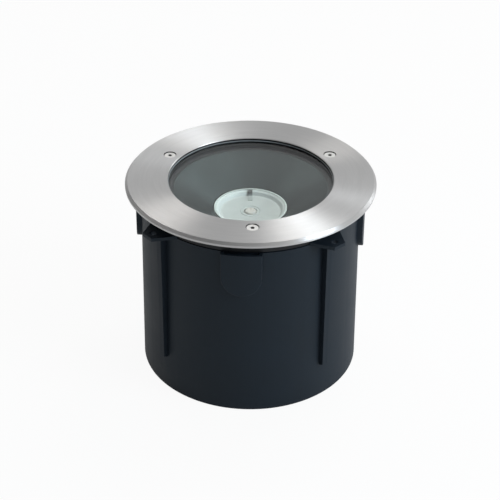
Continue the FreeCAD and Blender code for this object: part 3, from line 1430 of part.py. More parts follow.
# ---------------------------------------------------------------------------------------------
# The whole light
# ---------------------------------------------------------------------------------------------
NODES = [
    make_sleeve(),
    make_faceplate(),
    make_faceplate_screws(),
    make_threaded_inserts(),
    make_glass(),
    make_gasket(),
    make_housing(),
    make_cone(),
    make_cone_carrier(),
    make_deck(),
    make_deck_screws(),
    make_pivot_bolt(),
    make_washer("pivot_washer_lower", "deck_top", "lower_washer_thickness", "yoke_hole",
                "pivot_washer_radius"),
    make_washer("pivot_washer_upper", "upper_washer_low", "upper_washer_thickness",
                "pivot_radius + face_play", "pivot_washer_radius"),
    make_pivot_nut(),
    make_yoke(),
    make_tilt_screws(),
    make_tilt_washers(),
    make_heat_sink(),
    make_square("thermal_pad", "board_seat", "pad_thickness"),
    make_square("led_board", "board_low", "board_thickness"),
    make_washer("board_holder", "board_seat", "holder_top - board_seat", "holder_bore",
                "holder_radius"),
    make_dome(),
    make_bowl(),
    make_bezel(),
    make_clip(),
    make_driver(),
    make_driver_screws(),
    make_terminal_block(),
    make_terminal_screws(),
    make_earth_tag(),
    make_earth_screw(),
    make_gland_bodies(),
    make_gland_washers(),
    make_gland_locknuts(),
    make_gland_seals(),
    make_gland_nuts(),
    make_breather(),
]

doc.recompute()
for item in doc.Objects:
    if "Invalid" in item.State or "Error" in item.State:
        raise RuntimeError("%s failed" % item.Label)
os.makedirs("parts", exist_ok=True)
for node in NODES:
    shape = node.Shape
    if shape.isNull() or not shape.isValid() or not shape.Solids:
        raise RuntimeError("%s has no valid solid" % node.Label)
for node in NODES:
    node.Shape.exportStep("parts/%s.step" % node.Label)
    print("%-22s %2d solid(s) %12.1f mm3" % (node.Label, len(node.Shape.Solids), node.Shape.Volume))
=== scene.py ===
"""In ground well light: finishes, stage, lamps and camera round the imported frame."""

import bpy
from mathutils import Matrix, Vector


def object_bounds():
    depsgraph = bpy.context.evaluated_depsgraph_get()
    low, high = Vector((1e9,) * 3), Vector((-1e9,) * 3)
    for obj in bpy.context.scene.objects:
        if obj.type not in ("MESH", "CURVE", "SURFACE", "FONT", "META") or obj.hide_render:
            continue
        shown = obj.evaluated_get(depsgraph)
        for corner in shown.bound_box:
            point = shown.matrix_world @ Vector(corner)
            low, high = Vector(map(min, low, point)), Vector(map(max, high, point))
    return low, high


bl_info = {
    "name": "In Ground Well Light",
    "version": (1, 0, 0),
    "blender": (4, 5, 0),
    "location": "3D View > Sidebar > Well Light",
    "description": "Finishes a recessed ground light and sets it on a pale studio floor",
    "category": "Object",
}

import math

import bpy
from bpy.props import FloatProperty, FloatVectorProperty, PointerProperty
from mathutils import Matrix, Vector

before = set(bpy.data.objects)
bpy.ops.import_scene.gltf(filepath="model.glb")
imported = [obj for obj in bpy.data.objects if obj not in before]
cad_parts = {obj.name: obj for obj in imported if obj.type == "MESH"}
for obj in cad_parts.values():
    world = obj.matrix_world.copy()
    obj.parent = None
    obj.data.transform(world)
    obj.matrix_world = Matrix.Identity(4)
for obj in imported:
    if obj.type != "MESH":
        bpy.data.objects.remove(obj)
CAD_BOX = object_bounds()


# ---------------------------------------------------------------------------------------------
# Sizes and colours
# ---------------------------------------------------------------------------------------------
def colour(name, description, value):
    """A colour that a user may change."""
    return FloatVectorProperty(name=name, description=description, default=value, size=3,
                               min=0.0, max=1.0, subtype="COLOR")


def share(name, description, value):
    """A number from 0 to 1 that a user may change."""
    return FloatProperty(name=name, description=description, default=value, min=0.0, max=1.0,
                         subtype="FACTOR")


def length(name, description, value):
    """A distance in metres that a user may change."""
    return FloatProperty(name=name, description=description, default=value, min=0.0,
                         unit="LENGTH", precision=5)


class SteelFinish(bpy.types.PropertyGroup):
    """Brushed steel of the faceplate and its screws"""
    plate: colour("Faceplate", "Colour of the brushed faceplate", (0.595, 0.59, 0.585))
    plate_roughness: share("Roughness", "Roughness of the brushed faceplate", 0.38)
    plate_spread: share("Spread", "How far the brushing spreads a highlight", 0.94)
    grain: length("Grain depth", "Depth of the brushing", 0.00003)
    screw: colour("Screws", "Colour of the faceplate screws", (0.78, 0.77, 0.75))
    plated: colour("Plated steel", "Colour of the yoke, deck and small screws", (0.56, 0.57, 0.58))
    brass: colour("Brass", "Colour of the threaded inserts and the earth screw", (0.66, 0.49, 0.22))


class MouldedFinish(bpy.types.PropertyGroup):
    """Moulded and painted black parts"""
    sleeve: colour("Sleeve", "Colour of the ground sleeve", (0.0080, 0.0130, 0.0195))
    sleeve_roughness: share("Roughness", "Roughness of the ground sleeve", 0.52)
    housing: colour("Housing", "Colour of the cast housing", (0.009, 0.010, 0.012))
    gland: colour("Glands", "Colour of the cable glands", (0.020, 0.020, 0.022))
    rubber: colour("Rubber", "Colour of the black seals", (0.016, 0.016, 0.016))


class LampFinish(bpy.types.PropertyGroup):
    """Glass, cone and lamp"""
    glass_tint: colour("Glass", "Tint of the glass", (0.955, 0.985, 0.975))
    glass_bend: FloatProperty(name="Refraction", description="Refractive index of the glass",
                              default=1.5, min=1.0, max=2.0)
    gasket: colour("Gasket", "Colour of the gasket's lip", (0.26, 0.28, 0.29))
    cone: colour("Cone", "Colour of the anti-glare cone", (0.044, 0.058, 0.059))
    bowl: colour("Bowl", "Colour of the lamp's bowl", (0.55, 0.575, 0.56))
    dome: colour("Dome", "Colour of the light emitting dome", (0.60, 0.54, 0.46))
    bezel: colour("Bezel", "Colour of the lamp's bright rim", (0.70, 0.76, 0.74))
    clip: colour("Clip", "Colour of the clip's foot", (0.52, 0.55, 0.53))
    cast: colour("Heat sink", "Colour of the cast heat sink", (0.47, 0.48, 0.49))
    pad: colour("Pad", "Colour of the thermal pad", (0.30, 0.36, 0.42))
    board: colour("Board", "Colour of the emitter's board", (0.88, 0.88, 0.85))
    holder: colour("Holder", "Colour of the ring round the board", (0.84, 0.84, 0.80))


class SupplyFinish(bpy.types.PropertyGroup):
    """The driver, the terminals and the nylon washers"""
    driver: colour("Driver", "Colour of the driver's case", (0.66, 0.68, 0.70))
    terminal: colour("Terminals", "Colour of the terminal block", (0.42, 0.43, 0.42))
    nylon: colour("Nylon", "Colour of the friction washers", (0.72, 0.72, 0.69))


class StudioSetting(bpy.types.PropertyGroup):
    """Floor, lamps and camera"""
    floor: colour("Floor", "Colour of the floor", (0.86, 0.86, 0.86))
    world_level: FloatProperty(name="Room", description="Brightness of the room behind the light",
                               default=0.73, min=0.0, max=2.0)
    near_share: share("Near side", "Brightness of the room on the camera's side, of the rest", 0.08)
    key_power: FloatProperty(name="Key", description="Power of the overhead soft box", default=4.6,
                             min=0.0, unit="POWER")
    left_power: FloatProperty(name="Left", description="Power of the left soft box", default=1.7,
                              min=0.0, unit="POWER")
    right_power: FloatProperty(name="Right", description="Power of the right soft box", default=5.0,
                               min=0.0, unit="POWER")
    side_power: FloatProperty(name="Side", description="Power of the cool soft box at the right",
                              default=20.0, min=0.0, unit="POWER")
    camera_distance: FloatProperty(name="Camera distance", default=1.4932, min=0.1, unit="LENGTH",
                                   description="From the camera to the faceplate's middle")


class WellLightSettings(bpy.types.PropertyGroup):
    """Everything that a user may change"""
    steel: PointerProperty(type=SteelFinish, name="Steel", description="Brushed and plated steel")
    moulded: PointerProperty(type=MouldedFinish, name="Moulded", description="Black parts")
    lamp: PointerProperty(type=LampFinish, name="Lamp", description="Glass, cone and lamp")
    supply: PointerProperty(type=SupplyFinish, name="Supply", description="Driver and terminals")
    studio: PointerProperty(type=StudioSetting, name="Studio", description="Floor, lamps and camera")


# ---------------------------------------------------------------------------------------------
# Node trees
# ---------------------------------------------------------------------------------------------
class Finish:
    """One material, with short calls for the nodes that it is made of."""

    def __init__(self, name):
        self.material = bpy.data.materials.new(name)
        self.material.use_nodes = True
        self.tree = self.material.node_tree
        self.tree.nodes.clear()
        self.output = self.add("ShaderNodeOutputMaterial")
        self.place = self.add("ShaderNodeTexCoord").outputs["Object"]

    def add(self, kind, **settings):
        """A node with its settings."""
        node = self.tree.nodes.new(kind)
        for key, value in settings.items():
            setattr(node, key, value)
        return node

    def feed(self, socket, value):
        """Put a number, a colour or another node's output into a socket."""
        if isinstance(value, bpy.types.NodeSocket):
            self.tree.links.new(value, socket)
        elif hasattr(socket.default_value, "__len__") and len(socket.default_value) == 4:
            socket.default_value = (*value, 1.0)
        else:
            socket.default_value = value

    def math(self, operation, first, second=0.0):
        """The result of a sum on two numbers or outputs."""
        node = self.add("ShaderNodeMath", operation=operation)
        self.feed(node.inputs[0], first)
        self.feed(node.inputs[1], second)
        return node.outputs[0]

    def mixed(self, *parts):
        """The sum of some outputs, each multiplied by its share."""
        total = None
        for amount, output in parts:
            term = self.math("MULTIPLY", output, amount)
            total = term if total is None else self.math("ADD", total, term)
        return total

    def parts(self, vector):
        """The X, Y and Z of a vector."""
        split = self.add("ShaderNodeSeparateXYZ")
        self.feed(split.inputs[0], vector)
        return split.outputs

    def scaled(self, x, y, z):
        """The object's coordinates, multiplied along each axis."""
        node = self.add("ShaderNodeVectorMath", operation="MULTIPLY")
        self.feed(node.inputs[0], self.place)
        node.inputs[1].default_value = (x, y, z)
        return node.outputs[0]

    def round_place(self, turns, rings):
        """Coordinates that run round the Z axis and outwards from it."""
        x, y, z = self.parts(self.place)
        radius = self.radius()
        joined = self.add("ShaderNodeCombineXYZ")
        self.feed(joined.inputs[0], self.math("MULTIPLY", self.math("DIVIDE", x, radius), turns))
        self.feed(joined.inputs[1], self.math("MULTIPLY", self.math("DIVIDE", y, radius), turns))
        self.feed(joined.inputs[2], self.math("MULTIPLY", self.math("ADD", radius, z), rings))
        return joined.outputs[0]

    def radius(self):
        """The distance from the Z axis."""
        x, y = self.parts(self.place)[:2]
        return self.math("SQRT", self.math("ADD", self.math("MULTIPLY", x, x),
                                           self.math("MULTIPLY", y, y)))

    def height(self):
        """The height within the piece, from 0 at its foot to 1 at its top."""
        return self.parts(self.add("ShaderNodeTexCoord").outputs["Generated"])[2]

    def cut_faces(self, inner, outer, slope):
        """One on steep faces between two radii, such as the walls of holes, and nought elsewhere."""
        upward = self.parts(self.add("ShaderNodeNewGeometry").outputs["True Normal"])[2]
        steep = self.math("LESS_THAN", self.math("ABSOLUTE", upward), slope)
        radius = self.radius()
        within = self.math("MULTIPLY", self.math("GREATER_THAN", radius, inner),
                           self.math("LESS_THAN", radius, outer))
        return self.math("MULTIPLY", steep, within)

    def noise(self, place, scale=1.0, detail=3.0, roughness=0.5):
        """A noise at a place, from 0 to 1."""
        node = self.add("ShaderNodeTexNoise")
        self.feed(node.inputs["Vector"], place)
        node.inputs["Scale"].default_value = scale
        node.inputs["Detail"].default_value = detail
        node.inputs["Roughness"].default_value = roughness
        return node.outputs["Fac"]

    def between(self, amount, low, high, start=0.3, end=0.7):
        """A number that goes from low to high as amount goes from start to end."""
        node = self.add("ShaderNodeMapRange")
        self.feed(node.inputs["Value"], amount)
        for key, value in (("From Min", start), ("From Max", end), ("To Min", low), ("To Max", high)):
            node.inputs[key].default_value = value
        return node.outputs["Result"]

    def shades(self, amount, dark, light):
        """A colour between two shades."""
        node = self.add("ShaderNodeMix", data_type="RGBA")
        self.feed(node.inputs["Factor"], amount)
        self.feed(node.inputs["A"], dark)
        self.feed(node.inputs["B"], light)
        return node.outputs["Result"]

    def relief(self, height, depth, strength=1.0):
        """A normal that follows a height."""
        node = self.add("ShaderNodeBump")
        node.inputs["Strength"].default_value = strength
        node.inputs["Distance"].default_value = depth
        self.feed(node.inputs["Height"], height)
        return node.outputs["Normal"]

    def surface(self, **sockets):
        """The main shader, with its sockets given by name."""
        shader = self.add("ShaderNodeBsdfPrincipled")
        for key, value in sockets.items():
            self.feed(shader.inputs[key.replace("_", " ")], value)
        self.tree.links.new(shader.outputs[0], self.output.inputs["Surface"])
        return shader


def dimmed(shade, amount):
    """A colour with its brightness multiplied."""
    return tuple(min(1.0, part * amount) for part in shade)


def grained(name, shade, roughness, grain=900.0, depth=0.00003, metal=0.0, contrast=0.12,
            stretch=(1.0, 1.0, 1.0), gloss=0.5):
    """A finish with a fine grain: mottled colour, uneven roughness and a low relief."""
    finish = Finish(name)
    fine = finish.noise(finish.scaled(*(grain * part for part in stretch)), detail=4.0)
    broad = finish.noise(finish.scaled(*(28.0 * part for part in stretch)), detail=2.0)
    mottle = finish.mixed((0.5, fine), (0.5, broad))
    shader = finish.surface(
        Base_Color=finish.shades(finish.between(mottle, 0.0, 1.0), dimmed(shade, 1.0 - contrast),
                                 dimmed(shade, 1.0 + contrast)),
        Metallic=metal,
        Roughness=finish.between(mottle, roughness * 0.88, roughness * 1.12),
        Normal=finish.relief(fine, depth),
    )
    shader.inputs["Specular IOR Level"].default_value = gloss
    return finish.material


# The walls of the opening and of the screws' holes lie in shade, so they are darker than the rest.
SHADED = 0.06
SCREW_RING_INNER = 0.092
SCREW_RING_OUTER = 0.118
UPRIGHT = 0.5
SLANTED = 0.8


def brushed_round(name, shade, roughness, spread, depth):
    """Steel brushed in circles about the Z axis, with streaks that differ a little in colour, and with
    painted shade on the walls of its opening and its screws' holes.
    """
    finish = Finish(name)
    ringed = finish.noise(finish.round_place(2.2, 5200.0), detail=3.0, roughness=0.62)
    wide = finish.noise(finish.round_place(3.4, 260.0), detail=2.0)
    specks = finish.noise(finish.place, scale=1500.0, detail=2.0)
    streak = finish.mixed((0.62, ringed), (0.28, wide), (0.10, specks))
    tangent = finish.add("ShaderNodeTangent", direction_type="RADIAL", axis="Z")
    brushed = finish.shades(finish.between(streak, 0.0, 1.0), dimmed(shade, 0.90), dimmed(shade, 1.10))
    # Painted shade: the steep walls of the opening and of the screws' countersinks are coloured dark.
    painted_shade_mask = finish.math("MAXIMUM", finish.cut_faces(0.0, SCREW_RING_INNER, UPRIGHT),
                      finish.cut_faces(SCREW_RING_INNER, SCREW_RING_OUTER, SLANTED))
    shader = finish.surface(
        Base_Color=finish.shades(painted_shade_mask, brushed, dimmed(shade, SHADED)),
        Metallic=1.0,
        Roughness=finish.between(streak, roughness * 0.9, roughness * 1.1),
        Tangent=tangent.outputs[0],
        Normal=finish.relief(ringed, depth, 0.35),
    )
    shader.inputs["Anisotropic"].default_value = spread
    shader.inputs["Anisotropic Rotation"].default_value = 0.25
    return finish.material


SOCKET_TOP_HEIGHTS = (0.93, 0.96)
SOCKET_SHADE_SHARE = 0.2


def socket_screw(name, shade):
    """Steel screws, bright on their heads, with painted shade that colours their sockets dark."""
    finish = Finish(name)
    fine = finish.noise(finish.scaled(1600.0, 1600.0, 1600.0), detail=4.0)
    body = finish.shades(finish.between(fine, 0.0, 1.0), dimmed(shade, 0.92), dimmed(shade, 1.08))
    # Painted shade: below the top of the head, in the hex socket, the colour is darkened.
    head = finish.between(finish.height(), 0.0, 1.0, *SOCKET_TOP_HEIGHTS)
    finish.surface(
        Base_Color=finish.shades(head, dimmed(shade, SOCKET_SHADE_SHARE), body),
        Metallic=1.0,
        Roughness=finish.between(fine, 0.37, 0.47),
        Normal=finish.relief(fine, 0.00003),
    )
    return finish.material


def moulded_sleeve(name, shade, roughness):
    """Black moulded plastic with a spark-eroded grain and faint upright flow marks."""
    finish = Finish(name)
    fine = finish.noise(finish.scaled(1400.0, 1400.0, 1400.0), detail=3.0)
    flow = finish.noise(finish.round_place(22.0, 0.0), detail=3.0)
    broad = finish.noise(finish.scaled(16.0, 16.0, 22.0), detail=2.0)
    mottle = finish.mixed((0.4, flow), (0.6, broad))
    shader = finish.surface(
        Base_Color=finish.shades(finish.between(mottle, 0.0, 1.0), dimmed(shade, 0.86),
                                 dimmed(shade, 1.16)),
        Roughness=finish.between(mottle, roughness * 0.92, roughness * 1.1),
        Normal=finish.relief(fine, 0.00003, 0.7),
    )
    shader.inputs["Specular IOR Level"].default_value = 0.24
    shader.inputs["Specular Tint"].default_value = (0.80, 0.92, 1.0, 1.0)
    return finish.material


def clear_glass(name, tint, bend):
    """Toughened glass that bends what is seen through it and lets the lamps' light through."""
    finish = Finish(name)
    smear = finish.noise(finish.scaled(45.0, 45.0, 45.0), detail=2.0)
    body = finish.shades(finish.between(smear, 0.0, 1.0), dimmed(tint, 0.99), tint)
    solid = finish.surface(
        Base_Color=body,
        Roughness=finish.between(smear, 0.0, 0.012),
    )
    solid.inputs["Transmission Weight"].default_value = 1.0
    solid.inputs["IOR"].default_value = bend
    solid.inputs["Specular Tint"].default_value = (0.1, 0.1, 0.1, 1.0)
    clear = finish.add("ShaderNodeBsdfTransparent")
    finish.feed(clear.inputs["Color"], body)
    path = finish.add("ShaderNodeLightPath")
    mix = finish.add("ShaderNodeMixShader")
    finish.feed(mix.inputs[0], path.outputs["Is Shadow Ray"])
    finish.tree.links.new(solid.outputs[0], mix.inputs[1])
    finish.tree.links.new(clear.outputs[0], mix.inputs[2])
    finish.tree.links.new(mix.outputs[0], finish.output.inputs["Surface"])
    return finish.material


GASKET_LIP_HEIGHTS = (0.90, 0.93)
GASKET_WALL_SHADE_SHARE = 0.08


def lipped_gasket(name, shade):
    """Grey rubber, pale on its lips, with painted shade that colours its walls near black."""
    finish = Finish(name)
    fine = finish.noise(finish.scaled(1200.0, 1200.0, 1200.0), detail=4.0)
    body = finish.shades(finish.between(fine, 0.0, 1.0), dimmed(shade, 0.9), dimmed(shade, 1.1))
    # Painted shade: all but the top of the gasket, its walls under the faceplate, is coloured near
    # black.
    lip = finish.between(finish.height(), 0.0, 1.0, *GASKET_LIP_HEIGHTS)
    finish.surface(
        Base_Color=finish.shades(lip, dimmed(shade, GASKET_WALL_SHADE_SHARE), body),
        Roughness=finish.between(fine, 0.45, 0.55),
        Normal=finish.relief(fine, 0.00003),
    )
    return finish.material


def satin_cone(name, shade):
    """Dark anodised sheet, spun, with rings that can just be seen."""
    finish = Finish(name)
    rings = finish.noise(finish.round_place(1.6, 1500.0), detail=2.0)
    broad = finish.noise(finish.scaled(18.0, 18.0, 18.0), detail=2.0)
    mottle = finish.mixed((0.35, rings), (0.65, broad))
    shader = finish.surface(
        Base_Color=finish.shades(finish.between(mottle, 0.0, 1.0), dimmed(shade, 0.92),
                                 dimmed(shade, 1.08)),
        Metallic=0.95,
        Roughness=finish.between(mottle, 0.33, 0.39),
        Normal=finish.relief(rings, 0.000004, 0.3),
    )
    shader.inputs["Specular IOR Level"].default_value = 0.4
    return finish.material


BOWL_FLOOR_RADIUS = 0.0290
BOWL_WALL_RADIUS = 0.0335
BOWL_WALL_LIGHT_SHARE = 1.25


def pale_bowl(name, shade):
    """Pale satin moulding with soft rays from its middle, and painted light that makes its wall paler.
    """
    finish = Finish(name)
    rays = finish.noise(finish.round_place(9.0, 30.0), detail=2.0)
    cloud = finish.noise(finish.scaled(120.0, 120.0, 120.0), detail=3.0)
    mottle = finish.mixed((0.6, rays), (0.4, cloud))
    body = finish.shades(finish.between(mottle, 0.0, 1.0), dimmed(shade, 0.94), dimmed(shade, 1.07))
    # Painted light: the wall is coloured paler than the floor, to lift the shade that falls on it.
    wall = finish.between(finish.radius(), 0.0, 1.0, BOWL_FLOOR_RADIUS, BOWL_WALL_RADIUS)
    shader = finish.surface(
        Base_Color=finish.shades(wall, body, dimmed(shade, BOWL_WALL_LIGHT_SHARE)),
        Metallic=0.35,
        Roughness=finish.between(mottle, 0.58, 0.70),
        Normal=finish.relief(cloud, 0.00005, 0.5),
    )
    shader.inputs["Coat Weight"].default_value = 0.1
    return finish.material


CLIP_DARK_FROM = 0.75
CLIP_HOOK_SHARE = 0.14


def faded_clip(name, shade):
    """Spring steel that is dark at its hook and paler downwards."""
    finish = Finish(name)
    fine = finish.noise(finish.scaled(1500.0, 1500.0, 1500.0), detail=3.0)
    height = finish.math("ADD", finish.height(), finish.math("MULTIPLY", fine, 0.1))
    finish.surface(
        Base_Color=finish.shades(finish.between(height, 0.0, 1.0, 0.0, CLIP_DARK_FROM), shade,
                                 dimmed(shade, CLIP_HOOK_SHARE)),
        Metallic=0.3,
        Roughness=finish.between(fine, 0.5, 0.6),
        Normal=finish.relief(fine, 0.00002),
    )
    return finish.material


def mottled_dome(name, shade):
    """Silicone dome over many small emitters."""
    finish = Finish(name)
    cells = finish.add("ShaderNodeTexVoronoi")
    finish.feed(cells.inputs["Vector"], finish.place)
    cells.inputs["Scale"].default_value = 420.0
    cloud = finish.noise(finish.scaled(260.0, 260.0, 260.0), detail=3.0)
    mottle = finish.mixed((0.5, cells.outputs["Distance"]), (0.6, cloud))
    shader = finish.surface(
        Base_Color=finish.shades(finish.between(mottle, 0.0, 1.0, 0.25, 0.75), shade,
                                 tuple(0.45 * part + 0.42 for part in shade)),
        Roughness=finish.between(mottle, 0.2, 0.34),
        Normal=finish.relief(cloud, 0.0001, 0.5),
    )
    shader.inputs["Coat Weight"].default_value = 0.5
    return finish.material


def dress(material, *nodes):
    """Give a finish to the CAD nodes."""
    for node in nodes:
        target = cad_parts[node]
        if not target.material_slots:
            target.data.materials.append(material)
        for holder in target.material_slots:
            holder.material = material


# ---------------------------------------------------------------------------------------------
# Operators: one for each piece or group of like pieces
# ---------------------------------------------------------------------------------------------
class WELLLIGHT_OT_sleeve(bpy.types.Operator):
    """Finish the moulded ground sleeve"""
    bl_idname = "well_light.sleeve"
    bl_label = "Ground Sleeve"

    def execute(self, context):
        moulded = context.scene.well_light.moulded
        dress(moulded_sleeve("sleeve_plastic", moulded.sleeve, moulded.sleeve_roughness),
              "installation_sleeve")
        return {"FINISHED"}


class WELLLIGHT_OT_faceplate(bpy.types.Operator):
    """Finish the brushed faceplate"""
    bl_idname = "well_light.faceplate"
    bl_label = "Faceplate"

    def execute(self, context):
        steel = context.scene.well_light.steel
        dress(brushed_round("faceplate_steel", steel.plate, steel.plate_roughness, steel.plate_spread,
                            steel.grain), "faceplate")
        return {"FINISHED"}


class WELLLIGHT_OT_screws(bpy.types.Operator):
    """Finish the faceplate's screws and their inserts"""
    bl_idname = "well_light.screws"
    bl_label = "Faceplate Screws"

    def execute(self, context):
        steel = context.scene.well_light.steel
        dress(socket_screw("screw_steel", steel.screw), "faceplate_screws")
        dress(grained("insert_brass", steel.brass, 0.34, metal=1.0, stretch=(1.0, 1.0, 4.0)),
              "threaded_inserts", "earth_screw")
        return {"FINISHED"}


class WELLLIGHT_OT_glass(bpy.types.Operator):
    """Finish the glass and its gasket"""
    bl_idname = "well_light.glass"
    bl_label = "Glass and Gasket"

    def execute(self, context):
        lamp = context.scene.well_light.lamp
        dress(clear_glass("clear_glass", lamp.glass_tint, lamp.glass_bend), "glass_lens")
        dress(lipped_gasket("gasket_rubber", lamp.gasket), "glass_gasket")
        return {"FINISHED"}


class WELLLIGHT_OT_housing(bpy.types.Operator):
    """Finish the cast housing, the cone and the cone's carrier"""
    bl_idname = "well_light.housing"
    bl_label = "Housing and Cone"

    def execute(self, context):
        settings = context.scene.well_light
        shade = settings.moulded.housing
        dress(grained("housing_black", shade, 0.5, grain=1100.0, depth=0.00002, gloss=0.3),
              "lamp_housing")
        dress(grained("carrier_black", dimmed(shade, 1.6), 0.45, grain=1100.0, depth=0.00001, gloss=0.4),
              "cone_carrier")
        dress(satin_cone("cone_grey", settings.lamp.cone), "antiglare_cone")
        return {"FINISHED"}


class WELLLIGHT_OT_lamp(bpy.types.Operator):
    """Finish the lamp head"""
    bl_idname = "well_light.lamp"
    bl_label = "Lamp Head"

    def execute(self, context):
        lamp = context.scene.well_light.lamp
        dress(pale_bowl("bowl_white", lamp.bowl), "optic_bowl")
        dress(mottled_dome("dome_phosphor", lamp.dome), "led_dome")
        dress(grained("bezel_bright", lamp.bezel, 0.45, grain=1500.0, metal=1.0, contrast=0.05),
              "bezel_ring")
        dress(faded_clip("spring_steel", lamp.clip), "retaining_clip")
        dress(grained("cast_aluminium", lamp.cast, 0.48, grain=700.0, depth=0.0001, metal=1.0),
              "heat_sink")
        dress(grained("pad_silicone", lamp.pad, 0.6), "thermal_pad")
        dress(grained("board_white", lamp.board, 0.4, grain=1800.0, contrast=0.05), "led_board")
        dress(grained("holder_plastic", lamp.holder, 0.42, contrast=0.06), "board_holder")
        return {"FINISHED"}


class WELLLIGHT_OT_yoke(bpy.types.Operator):
    """Finish the yoke, its pivots and the deck"""
    bl_idname = "well_light.yoke"
    bl_label = "Yoke and Deck"

    def execute(self, context):
        settings = context.scene.well_light
        plated = grained("plated_steel", settings.steel.plated, 0.34, grain=420.0, metal=1.0,
                         contrast=0.1)
        dress(plated, "tilt_yoke", "deck_plate", "deck_screws", "pivot_bolt", "pivot_nut",
              "pivot_washer_upper", "tilt_screws", "driver_screws", "terminal_screws", "earth_tag")
        dress(grained("nylon_white", settings.supply.nylon, 0.45, contrast=0.05), "pivot_washer_lower",
              "tilt_washers")
        return {"FINISHED"}


class WELLLIGHT_OT_driver(bpy.types.Operator):
    """Finish the driver and the terminals"""
    bl_idname = "well_light.driver"
    bl_label = "Driver and Terminals"

    def execute(self, context):
        supply = context.scene.well_light.supply
        dress(grained("driver_case", supply.driver, 0.4, grain=1300.0, contrast=0.06), "led_driver")
        dress(grained("terminal_grey", supply.terminal, 0.42, contrast=0.08), "terminal_block")
        return {"FINISHED"}


class WELLLIGHT_OT_glands(bpy.types.Operator):
    """Finish the cable glands and the breather"""
    bl_idname = "well_light.glands"
    bl_label = "Cable Glands"

    def execute(self, context):
        moulded = context.scene.well_light.moulded
        dress(grained("gland_nylon", moulded.gland, 0.4, grain=1500.0, gloss=0.45), "gland_bodies",
              "gland_nuts", "gland_locknuts", "breather_valve")
        dress(grained("black_rubber", moulded.rubber, 0.62, grain=1500.0, gloss=0.3), "gland_seals",
              "gland_washers")
        return {"FINISHED"}


CAMERA_AZIMUTH = math.radians(-1.2)
CAMERA_ELEVATION = 0.517
CAMERA_ROLL = 0.0084
CAMERA_SENSOR = 36.0
CAMERA_LENS = 103.91
CAMERA_SHIFT = (-0.0016, -0.1455)
FLOOR_HALF = 30.0
WHITE_SHARE = 0.93
MIRRORED_SHARE = 0.36
BRIGHT_SIDE = (0.62, 0.45, 0.64)
ROOM_FADE = (-0.20, 0.78)
SOFT_BOXES = (
    # name, direction from the faceplate, distance, width and height, colour
    ("key", (0.235, 0.46, 0.85), 1.8, (0.40, 0.62), (1.0, 0.995, 0.98)),
    ("left", (-0.34, 0.60, 0.72), 1.5, (0.28, 0.40), (1.0, 0.97, 0.93)),
    ("right", (0.66, 0.60, 0.42), 2.4, (0.40, 0.80), (0.93, 0.97, 1.0)),
    ("side", (0.80, -0.42, 0.42), 1.8, (0.80, 0.90), (0.80, 0.91, 1.0)),
)


def direction(azimuth, elevation):
    """A unit vector towards a place round the light."""
    return Vector((math.sin(azimuth) * math.cos(elevation), -math.cos(azimuth) * math.cos(elevation),
                   math.sin(elevation)))


def soft_box(name, towards, distance, size, power, tint, target):
    """A rectangular soft box that faces the target."""
    lamp = bpy.data.lights.new(name, "AREA")
    lamp.shape = "RECTANGLE"
    lamp.size, lamp.size_y = size
    lamp.energy = power
    lamp.color = tint
    holder = bpy.data.objects.new(name, lamp)
    towards = Vector(towards).normalized()
    holder.location = target + towards * distance
    holder.rotation_euler = (-towards).to_track_quat("-Z", "Y").to_euler()
    bpy.context.scene.collection.objects.link(holder)


